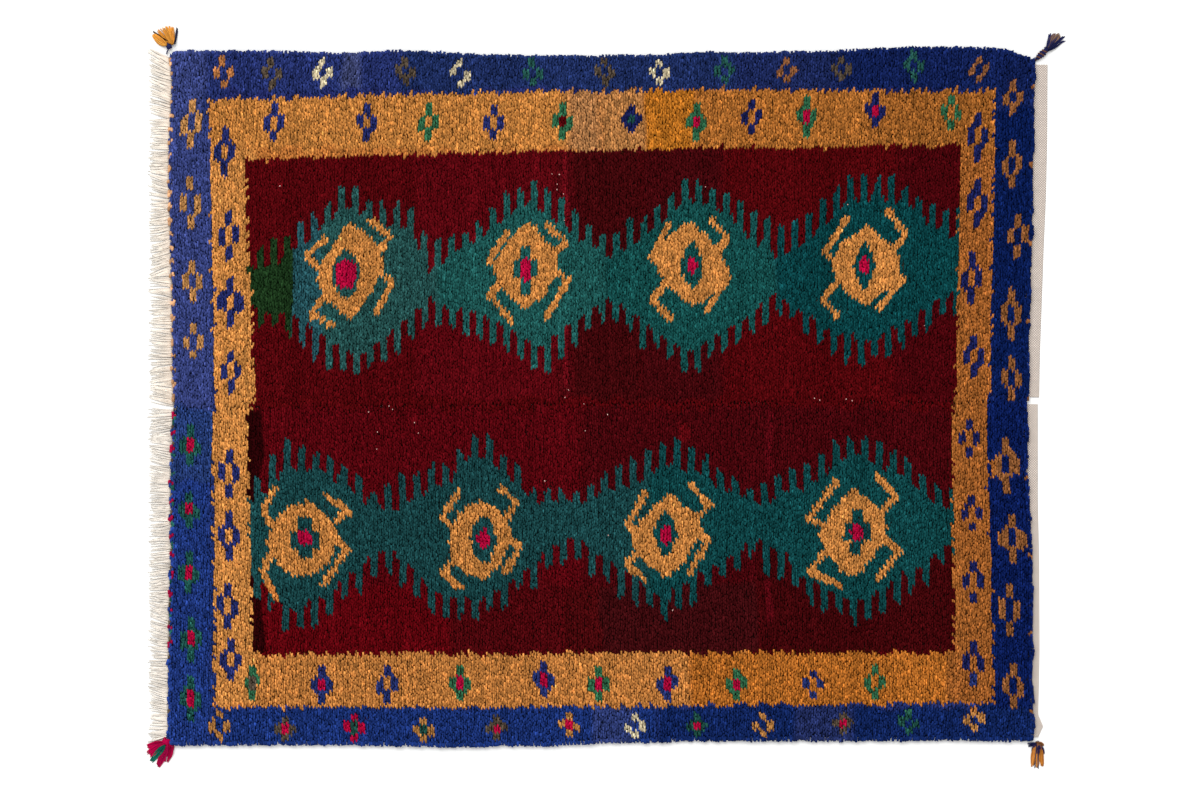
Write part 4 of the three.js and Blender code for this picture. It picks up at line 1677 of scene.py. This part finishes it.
    def tie_rim(self, wool: Array, knots: dict[str, Array]) -> None:
        """Ties the odd knots of the pile's two ends: the panel's dots at the west end, where a knot's
        place in their spacing falls in theirs, and gold ones at even spaces at the east end.
        """
        chance = self.rng.uniform(0, 1, len(wool))
        beat = self.rim_beat(knots["y"])
        for dots in self.panel.dots:
            tied = (knots["west"] < dots.reach) & (chance < dots.chance) & (knots["y"] > dots.stop)
            wool[tied & (beat >= dots.beat[0]) & (beat < dots.beat[1])] = dots.dye
        reach, start, spacing, length = self.east_dots
        wool[(knots["east"] < reach) & (np.mod(knots["y"] - start, spacing) < length)] = GOLD

    def worn_knots(self, knots: dict[str, Array]) -> Array:
        """Finds the knots that show a pale ply: the one nearest to each fleck's place."""
        worn = np.zeros(len(knots["x"]), bool)
        for x, y in FLECKS:
            if (y > along(SEAM_LINE, x)) == (self.panel.side is Side.UPPER):
                worn[np.argmin(np.hypot(knots["x"] - x, knots["y"] - y))] = True
        return worn


@dataclass
class WarpFringe:
    """The fringe of one panel: a narrow woven strip, and the loose twisted ends of the warps.

    Attributes:
        panel: The panel.
        yarns: How many ends hang out of it.
        strip: The strip's width.
        tuck: How far it reaches under the pile.
        tips: The x that the ends reach, and how much they differ.
        thickness: Their radius at the strip and at the tip.
        slants: How far neighbours lean to one side together, as a slope, widely and closely.
        flare_from: Where along the fringe its strands start to spread past the corner.
        bend: How far neighbours bend together.
        wave: How far a yarn waves by itself.
        curl: How far its tip strays.
        tone: How the wool's brightness changes along the fringe.
        edge: How the strip's outer edge wavers, closely and widely.
        ridge: The height and the spacing of the strip's ridges.
        steps: Points along each yarn.
    """

    panel: Panel
    yarns: int = 380
    strip: float = 14.0
    tuck: float = 7.0
    tips: Pair = (-1026.0, 3.2)
    thickness: Pair = (1.7, 1.05)
    slants: tuple[Drift, Drift] = (Drift(0.28, 60), Drift(0.1, 11))
    flare_from: float = 0.86
    bend: Drift = Drift(1.5, 25)
    wave: float = 1.05
    curl: float = 1.3
    tone: Drift = Drift(0.06, 8)
    edge: tuple[Drift, Drift] = (Drift(0.8, 6), Drift(0.8, 25))
    ridge: Pair = (0.25, 4.5)
    steps: int = 8

    def build(self) -> Piece:
        """Lays the strip and the yarns, and joins them in one mesh.

        A yarn runs from the strip to the line of the tips, turned and bent by the slow noise that its
        neighbours share, with waves of its own that grow from nothing at the strip.
        """
        panel, rng = self.panel, np.random.default_rng(300 + self.panel.rows)
        near = panel.fringe_start
        corner = panel.outer[0][1] - panel.side * panel.fringe_stop
        share = (np.arange(self.yarns) + 0.5 + rng.normal(0, 0.25, self.yarns)) / self.yarns
        y0 = near + (corner - near) * share
        x0 = panel.at_end(panel.west, y0) - 1.0
        s = np.linspace(0, 1, self.steps)[None]
        tips = np.clip(rng.normal(*self.tips, self.yarns), self.tips[0] - 8, self.tips[0] + 8)
        length = (x0 - tips)[:, None]
        slant = self.slants[0].on(y0, 31) + self.slants[1].on(y0, 32)
        slant = slant + rng.normal(0, 0.05, self.yarns)
        flare = np.clip((share - self.flare_from) / (1 - self.flare_from), 0, 1) * panel.side
        slant = (slant + flare * panel.fringe_flare / 40)[:, None]
        phase = rng.uniform(0, 6.3, (self.yarns, 1))
        bend = self.bend.on(y0, 35)[:, None] * np.sin(math.pi * s)
        waves = bend + self.wave * s * np.sin(phase + 3 * s)
        curl = rng.normal(0, self.curl, (self.yarns, 1)) * s**2.5
        x = x0[:, None] - length * s
        y = y0[:, None] + length * s * np.tan(slant) + waves + curl
        lift = rng.uniform(0.1, 0.9, (self.yarns, 1)) * np.sin(math.pi * s) ** 2
        radii = self.thickness[0] + (self.thickness[1] - self.thickness[0]) * s**1.5
        radii = radii * rng.uniform(0.8, 1.15, (self.yarns, 1)) * (1 + 0.3 * np.abs(flare[:, None]))
        z = radii + 0.9 * (1 - s) + lift
        points, faces = yarns(np.stack([x, y, z], 2), radii, PLY_CORNERS)
        tone = rng.normal(1, 0.06, self.yarns) * (1 + self.tone.on(y0, 36))
        # The yarns run from the root colour, darker partly as painted shade by the pile's edge, to the
        # whiter tip colour
        base, worn = (linear(colour) for colour in panel.fringe_wool)
        colours = (base + (worn - base) * s[..., None]) * np.clip(tone, 0.5, 1.08)[:, None, None]
        ends = colours[:, [0, -1]]
        colours = np.concatenate([np.repeat(colours, PLY_CORNERS, axis=1), ends], 1).reshape(-1, 3)
        strip_points, strip_faces = self.woven_strip(near, corner)
        # Painted shade: the strip by and under the pile's edge is a little darker than the yarns' roots
        shaded_strip_colours = np.tile(base * 0.97, (len(strip_points), 1))
        return put_mesh(
            f"fringe_yarns_{panel.word}",
            np.concatenate([points, strip_points]),
            np.concatenate([faces, strip_faces + len(points)]),
            np.concatenate([colours, shaded_strip_colours]),
        )

    def woven_strip(self, near: float, corner: float) -> tuple[Array, Array]:
        """Lays the strip as a thin closed sheet whose outer edge waves between the yarns.

        Args:
            near: Its y by the seam.
            corner: Its y by the rug's corner.

        Returns:
            The points, and three point numbers a line.
        """
        low, high = sorted((near, corner))
        t, y = np.meshgrid(np.linspace(0, 1, 6), np.linspace(low, high, 260), indexing="ij")
        west = self.panel.at_end(self.panel.west, y)
        edge = self.edge[0].on(y, 33) + self.edge[1].on(y, 34)
        x = west - self.strip + self.tuck + edge * (1 - t) + (self.strip + 1) * t
        z = 1.9 - 1.1 * (1 - t) ** 3 + self.ridge[0] * np.sin(2 * math.pi * y / self.ridge[1])
        return closed_sheet(np.stack([x, y, z], 2))


@dataclass
class FlatEnd:
    """The plain flatwoven end of one panel: thin ribbed cloth, its outer edge turned under and sewn.

    Attributes:
        panel: The panel.
        tuck: How far it reaches under the pile.
        thickness: Its thickness, and that of the turned hem.
        rib: The spacing of its ribs, which run along the rug.
        rib_height: How far they stand out.
        rib_drift: How far they wander, as an angle of their wave.
        ripple: How the cloth rises and falls.
        hem: How wide the turned edge is.
        fold: How wide its rounded outer edge is.
        shares: Where its points stand on the way across it, closer together at the hem.
        step: How far apart they stand along it.
    """

    panel: Panel
    tuck: float = 8.0
    thickness: Pair = (1.5, 2.3)
    rib: float = 4.5
    rib_height: float = 0.22
    rib_drift: Drift = Drift(0.5, 30)
    ripple: Drift = Drift(0.15, 26)
    hem: float = 6.0
    fold: float = 2.2
    shares: tuple[float, ...] = (0.0, 0.35, 0.7, 0.82, 0.9, 0.96, 1.0)
    step: float = 1.15

    def build(self) -> Piece:
        """Lays the cloth from under the pile to the hem: ribs are a sine along Y, and the hem a
        rounded rise that drops to the floor.
        """
        panel = self.panel
        corner = abs(panel.hem[-1][0])
        low, high = sorted((panel.hem[0][0], panel.side * corner))
        steps = round((high - low) / self.step)
        t, y = np.meshgrid(self.shares, np.linspace(low, high, steps), indexing="ij")
        inner = panel.at_end(panel.east, y) - self.tuck
        outer = panel.at_end(panel.hem, y)
        x = inner + (outer - inner) * t
        from_edge = outer - x
        turned = 1 - smooth_step(self.hem - 1.5, self.hem + 1.5, from_edge)
        thick = self.thickness[0] + (self.thickness[1] - self.thickness[0]) * turned
        drop = np.clip(1 - from_edge / self.fold, 0, 1) ** 2
        ribs = self.rib_height * np.sin(2 * math.pi * y / self.rib + self.rib_drift.at(x, y, 41))
        z = thick * (1 - 0.75 * drop) + (ribs + self.ripple.at(x, y, 42)) * (1 - drop)
        return put_mesh(f"flatwoven_end_{panel.word}", *closed_sheet(np.stack([x, y, z], 2)))


@dataclass(frozen=True)
class Strand:
    """A bundle of a tassel's yarns.

    Attributes:
        angle: Where it points, in degrees from +X towards +Y.
        width: How many degrees it spreads over.
        length: From its root to its tips.
        yarns: How many yarns it has.
        colour: Its colour.
        root: Where it starts, from the knot's middle.
        belly: How far its outer yarns bulge to each side.
        over: How much higher it lies than the others, over them.
    """

    angle: float
    width: float
    length: float
    yarns: int
    colour: str
    root: Pair = (0.0, 0.0)
    belly: float = 2.5
    over: float = 0.0


@dataclass
class Tassel:
    """A wool tassel tied to a corner: a thread from the corner, a wound knot, and bundles of yarn.

    Attributes:
        name: The piece's name.
        node: The solid that it stands for.
        slot: The short name of its finish; its first word also goes into the finish's name.
        knot: The knot's middle, x and y.
        radius: The knot's radius.
        height: The knot's height.
        tie: Where its thread leaves the corner.
        wool: The knot's colour.
        binding: The colour of the thread wound round it.
        strands: Its bundles.
        stem: How many plaited yarns run from the corner to the knot.
        turns: How many turns of thread bind it.
        bound: How far along the strands they go, as a share of the knot's radius.
    """

    name: str
    node: str
    slot: str
    knot: Pair
    radius: float
    height: float
    tie: Pair
    wool: str
    binding: str
    strands: tuple[Strand, ...]
    stem: int = 2
    turns: int = 3
    bound: float = 0.6

    def build(self) -> Piece:
        """Builds the tassel of yarns alone, all joined in one mesh."""
        rng = np.random.default_rng(int(abs(self.knot[0]) + 3 * abs(self.knot[1])))
        parts = [self.strand(strand, rng) for strand in self.strands]
        parts += [self.head(rng), self.core(), self.windings(), self.thread()]
        points, faces, colours = zip(*parts)
        before = np.cumsum([0] + [len(part) for part in points[:-1]])
        faces = [part + shift for part, shift in zip(faces, before)]
        return put_mesh(self.name, *(np.concatenate(part) for part in (points, faces, colours)))

    def painted(self, paths: Array, radii: Array, sides: int, tones: Array) -> Painted:
        """Makes yarns, each of one colour with painted shade that darkens it towards its start."""
        points, faces = yarns(paths, radii, sides)
        steps = paths.shape[1]
        # Painted shade: each yarn darkens towards its start, which for a strand is where it leaves the knot
        painted_shade = 0.6 + 0.4 * np.linspace(0, 1, steps) ** 0.5
        colours = tones[:, None] * painted_shade[None, :, None]
        colours = np.concatenate([np.repeat(colours, sides, axis=1), colours[:, [0, -1]]], 1)
        return points, faces, colours.reshape(-1, 3)

    def strand(self, strand: Strand, rng: np.random.Generator) -> Painted:
        """Lays a bundle: its yarns leave the knot high up, droop to the floor by (1 - s)², and wave."""
        count = strand.yarns
        s = np.linspace(0, 1, 10)[None]
        side = rng.uniform(-1, 1, (count, 1))
        angle = np.radians(strand.angle + side * strand.width / 2)
        length = strand.length * rng.uniform(0.86, 1.0, count)[:, None]
        swing = strand.belly * side * np.sin(math.pi * s**0.8)
        swing = swing + rng.normal(0, 0.9, (count, 1)) * s**2
        x = self.knot[0] + strand.root[0] + length * s * np.cos(angle) - swing * np.sin(angle)
        y = self.knot[1] + strand.root[1] + length * s * np.sin(angle) + swing * np.cos(angle)
        radii = (1.35 - 0.55 * s**2) * rng.uniform(0.85, 1.15, (count, 1))
        start = rng.uniform(0.25, 0.8, (count, 1)) * self.height
        z = radii + (start - 0.9) * (1 - s) ** 2 + rng.uniform(0, 2.4, (count, 1)) * s * (1 - s) * 2
        z = z + strand.over * np.sin(math.pi * np.clip(s + 0.25, 0, 1))
        tones = linear(strand.colour) * np.exp(rng.normal(0, 0.2, (count, 1)))
        path = np.stack([x, y, np.maximum(z, radii)], 2)
        return self.painted(path, radii, 4, np.clip(tones, 0, LIGHTEST_TASSEL))

    def head(self, rng: np.random.Generator) -> Painted:
        """Winds the knot itself: yarns arch over it by the sine of s, each turned from the last."""
        count = 11
        s = math.pi * np.linspace(0.05, 0.95, 11)[None]
        turn = (math.pi * np.arange(count) / count)[:, None]
        tilt = rng.normal(0, 0.3, (count, 1))
        radius = self.radius * rng.uniform(0.72, 0.95, (count, 1))
        x = radius * np.cos(s) * np.cos(turn) - tilt * radius * np.sin(turn)
        y = radius * np.cos(s) * np.sin(turn) + tilt * radius * np.cos(turn)
        thick = np.full(x.shape, 0.26 * self.radius)
        top = self.height - 2 * thick - rng.uniform(0, 1.6, (count, 1))
        z = thick + top * np.sin(s)
        path = np.stack([self.knot[0] + x, self.knot[1] + y, z], 2)
        tones = linear(self.wool) * np.exp(rng.normal(0, 0.15, (count, 1)))
        return self.painted(path, thick, 6, np.clip(tones, 0, LIGHTEST_TASSEL))

    def core(self) -> Painted:
        """Fills the knot: one thick lump, whose radius is that of a ball at each of its steps."""
        s = np.linspace(-0.95, 0.95, 9)[None]
        half = 0.46 * self.height
        x = self.knot[0] + 0.7 * self.radius * s
        path = np.stack([x, 0 * x + self.knot[1], 0 * x + self.height / 2], 2)
        return self.painted(path, half * np.sqrt(1 - s**2), 10, linear(self.wool)[None])

    def windings(self) -> Painted:
        """Binds the knot: turns of thread arch over it, across the way that the strands leave."""
        weight = sum(strand.yarns for strand in self.strands)
        east = sum(s.yarns * math.cos(math.radians(s.angle)) for s in self.strands) / weight
        north = sum(s.yarns * math.sin(math.radians(s.angle)) for s in self.strands) / weight
        size = math.hypot(east, north)
        away = np.array([east / size, north / size])
        side = np.array([-away[1], away[0]])
        s = math.pi * np.linspace(0.04, 0.96, 13)[None]
        share = np.linspace(0, 1, self.turns)[:, None]
        shift = (0.45 + self.bound * share) * self.radius
        across = self.radius * (0.85 - 0.2 * share) * np.cos(s)
        thick = np.full(across.shape, 0.9)
        level = thick + (self.height * (0.86 - 0.12 * share) - 2 * thick) * np.sin(s)
        x = self.knot[0] + shift * away[0] + across * side[0]
        y = self.knot[1] + shift * away[1] + across * side[1]
        tones = np.tile(linear(self.binding), (self.turns, 1))
        return self.painted(np.stack([x, y, level], 2), thick, 5, tones)

    def thread(self) -> Painted:
        """Plaits the stem from the corner to the knot: each yarn circles the line by s, a phase apart."""
        s = np.linspace(0, 1, 20)[None]
        phase = (2 * math.pi * np.arange(self.stem) / self.stem)[:, None]
        run = np.array(self.knot) - np.array(self.tie)
        length = float(np.hypot(*run))
        aside = np.array([-run[1], run[0]]) / length
        twist = phase + 2 * math.pi * s * length / 9
        wide = 0.9 if self.stem < 3 else 1.2 + 4.4 * np.sin(math.pi * s**1.3) ** 0.8
        x = self.tie[0] + run[0] * s + wide * np.cos(twist) * aside[0]
        y = self.tie[1] + run[1] * s + wide * np.cos(twist) * aside[1]
        thick = np.full(x.shape, 0.85) if self.stem < 3 else 0.6 + 0.52 * wide + 0 * x
        z = np.maximum(2.4 + 0.3 * self.height * s + 0.4 * wide * np.sin(twist), thick)
        tones = np.tile(linear(self.wool), (self.stem, 1))
        tones[0] = linear(self.binding)
        return self.painted(np.stack([x, y, z], 2), thick, 5, tones)


@dataclass
class Seam:
    """The sewing between the panels: slanting stitches of strong thread through both edges.

    Attributes:
        ends: Where it starts and stops, in x.
        spacing: How far apart the stitches are.
        slant: How far a stitch runs along the seam, as a share of their spacing.
        bite: How far each reaches into a panel.
        rise: How high it arches over the weave.
        thread: The thread's radius.
        colour: The thread's colour.
    """

    ends: Pair = (-955.0, 940.0)
    spacing: float = 13.0
    slant: float = 0.6
    bite: float = 5.0
    rise: float = 1.6
    thread: float = 0.7
    colour: str = "#5b3322"

    def build(self) -> Piece:
        """Sews each stitch as a low arch over the gap: z rises by the sine of its share."""
        x0 = np.arange(*self.ends, self.spacing)[:, None]
        s = np.linspace(0, 1, 7)[None]
        x = x0 + self.slant * self.spacing * s
        y = along(SEAM_LINE, x) + self.bite * (2 * s - 1)
        z = WEAVE_THICKNESS + 0.2 + self.rise * np.sin(math.pi * s) + 0 * x0
        points, faces = yarns(np.stack([x, y, z], 2), np.full(x.shape, self.thread), 4)
        return put_mesh("seam_stitches", points, faces, np.tile(linear(self.colour), (len(points), 1)))


@dataclass(frozen=True)
class Studio:
    """A pale floor, a white sky and one broad lamp, and the camera straight above the rug.

    Attributes:
        view: The middle of the picture on the floor, x and y.
        distance: The camera's height.
        lens: Its focal length.
        sensor: Its sensor's width.
        clip: The nearest and the farthest that it sees, in metres.
        floor: Half the floor's size.
        gap: How far the floor lies under the rug, so that the two never share a face.
        sky: The sky's brightness.
        lamp: The lamp's brightness.
        lamp_spread: How wide the lamp looks, in degrees.
        lamp_turn: Where it stands: degrees down from overhead, and degrees from +X towards +Y.
    """

    view: Pair = (-13.5, -4.5)
    distance: float = 6385.0
    lens: float = 85.0
    sensor: float = 36.0
    clip: Pair = (0.1, 200.0)
    floor: float = 40000.0
    gap: float = 0.4
    sky: float = 0.8
    lamp: float = 2.2
    lamp_spread: float = 40.0
    lamp_turn: Pair = (42.0, 115.0)

    def build(self) -> None:
        """Sets up the floor, the light and the camera."""
        bpy.context.scene.view_settings.view_transform = "Standard"
        self.lay_floor()
        self.hang_lights()
        self.set_camera()

    def lay_floor(self) -> None:
        """Lays the floor as a square of two triangles."""
        corners = self.floor * np.array([[-1, -1, 0], [1, -1, 0], [1, 1, 0], [-1, 1, 0]])
        corners = corners - np.array([0, 0, self.gap])
        ground = put_mesh("studio_floor", corners, np.array([[0, 1, 2], [0, 2, 3]]), smooth=False)
        ground.data.materials.append(BACKDROP.material())

    def hang_lights(self) -> None:
        """Lights the sky evenly, and hangs the lamp, turned down from overhead and then round."""
        world = bpy.data.worlds.new("white studio")
        world.use_nodes = True
        world.node_tree.nodes.clear()
        sky = add_node(
            world.node_tree,
            "ShaderNodeBackground",
            {"Color": (1.0, 1.0, 1.0, 1.0), "Strength": self.sky},
        )
        add_node(world.node_tree, "ShaderNodeOutputWorld", {}, {"Surface": sky.outputs[0]})
        bpy.context.scene.world = world
        lamp = bpy.data.lights.new("studio_lamp", "SUN")
        lamp.energy = self.lamp
        lamp.angle = math.radians(self.lamp_spread)
        holder = bpy.data.objects.new("studio_lamp", lamp)
        down, turn = (math.radians(angle) for angle in self.lamp_turn)
        holder.rotation_euler = (down, 0.0, turn + math.pi / 2)
        bpy.context.scene.collection.objects.link(holder)

    def set_camera(self) -> None:
        """Sets the camera above the middle of the picture, looking straight down."""
        camera = bpy.data.cameras.new("studio_camera")
        camera.lens, camera.sensor_width = self.lens, self.sensor
        camera.clip_start, camera.clip_end = self.clip
        stand = bpy.data.objects.new("studio_camera", camera)
        stand.location = (self.view[0] * MM, self.view[1] * MM, self.distance * MM)
        bpy.context.scene.collection.objects.link(stand)
        bpy.context.scene.camera = stand


TASSELS = (
    Tassel(
        name="tassel_yarns_north_west", node="tassel_north_west", slot="gold_tassel",
        knot=(-984, 792), radius=6.5, height=10.5, tie=(-990, 775), wool="#2a2e5c",
        binding="#3b3f66",
        strands=(
            Strand(141, 16, 41, 24, "#d7933f", (-5, 2), 8.0),
            Strand(145, 3, 42, 3, "#4a3020", (-3, 11), 0.5),
            Strand(131, 14, 43, 12, "#d08a35", (3, 6), 3.0),
            Strand(114, 16, 45, 15, "#da9741", (7, 4), 3.5),
            Strand(97, 14, 44, 14, "#d7913b", (9, 4), 3.5),
            Strand(83, 5, 39, 3, "#33303f", (12, 5), 2.0),
            Strand(76, 4, 33, 2, "#2c3052", (13, 6), 2.0),
        ),
    ),
    Tassel(
        name="tassel_yarns_north_east", node="tassel_north_east", slot="navy_tassel",
        knot=(993, 786), radius=6, height=9, tie=(966, 760), wool="#22244c", binding="#6b4a38",
        stem=3,
        strands=(
            Strand(76, 7, 38, 8, "#262a55", (-1, 0), 3.5, 1.0),
            Strand(64, 13, 41, 14, "#6d5550", (1, 0), 5.5),
            Strand(51, 10, 45, 12, "#7d6350", (2, 0), 4.5),
            Strand(56, 22, 24, 8, "#2b2a50", (1, 0), 5.0, 1.5),
            Strand(45, 14, 40, 10, "#2b2a50", (3, 0), 5.5, 1.0),
            Strand(38, 4, 50, 5, "#20234a", (3, -1), 2.0, 1.0),
            Strand(33, 4, 46, 4, "#20234a", (3, -4), 4.0),
        ),
    ),
    Tassel(
        name="tassel_yarns_south_west", node="tassel_south_west", slot="magenta_tassel",
        knot=(-988, -773), radius=10.5, height=12.5, tie=(-981, -771), wool="#ae0842",
        binding="#930539",
        strands=(
            Strand(196, 18, 46, 22, "#a80a40", (-3, -2), 7.0),
            Strand(213, 18, 50, 22, "#b00b45", (-3, -5), 6.5),
            Strand(229, 9, 51, 16, "#14604f", (-4, -8), 5.5, 1.5),
            Strand(243, 8, 55, 18, "#ac1049", (3, -9), 6.5),
            Strand(254, 12, 42, 16, "#a60d40", (8, -8), 7.0),
            Strand(262, 16, 24, 10, "#a60d40", (11, -2), 4.5),
        ),
    ),
    Tassel(
        name="tassel_yarns_south_east", node="tassel_south_east", slot="rust_tassel",
        knot=(972, -782), radius=8, height=11, tie=(973, -772), wool="#7a5036", binding="#2b2750",
        turns=6, bound=1.7,
        strands=(
            Strand(262, 6, 49, 16, "#b97838", (-6, -1), 4.0),
            Strand(270, 6, 51, 16, "#c4813b", (0, -1), 3.5),
            Strand(276, 6, 48, 16, "#b5722f", (6, -1), 4.0),
            Strand(266, 2, 56, 2, "#33334f", (-3, -1), 0.8, 1.0),
            Strand(271, 2, 55, 2, "#33334f", (1, -1), 0.8, 1.0),
            Strand(296, 26, 24, 12, "#2d2750", (2, 0), 5.5, 3.0),
            Strand(262, 30, 19, 8, "#33294c", (-4, 2), 4.0, 3.0),
            Strand(196, 30, 20, 6, "#23264c", (-3, 4), 2.0, 1.0),
            Strand(330, 30, 15, 6, "#8a5a34", (2, 6), 3.0, 2.0),
        ),
    ),
)


def main() -> None:
    """Builds the rug piece by piece, and the studio round it."""
    logging.basicConfig(level=logging.INFO, format="%(message)s")
    Studio().build()
    pattern = Pattern()
    for panel in (UPPER, LOWER):
        piles = Pile(panel, pattern).build()
        ground = GroundWeave(panel, pattern).build()
        dress(ground, KNOTTED_BACK)
        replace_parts(ground, f"pile_panel_{panel.word}")
        fringe = dress(WarpFringe(panel).build(), WARP_YARN)
        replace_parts(fringe, f"warp_fringe_{panel.word}")
        end = dress(FlatEnd(panel).build(), FLATWEAVE)
        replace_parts(end, f"flat_end_{panel.word}")
    for tassel in TASSELS:
        finish = PileWool(f"tassel wool, {tassel.slot.split('_')[0]}", tassel.slot, fibre=0.9, relief=0.2)
        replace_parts(dress(tassel.build(), finish), tassel.node)
    dress(Seam().build(), SEWING_THREAD)


if __name__ == "__main__":
    main()
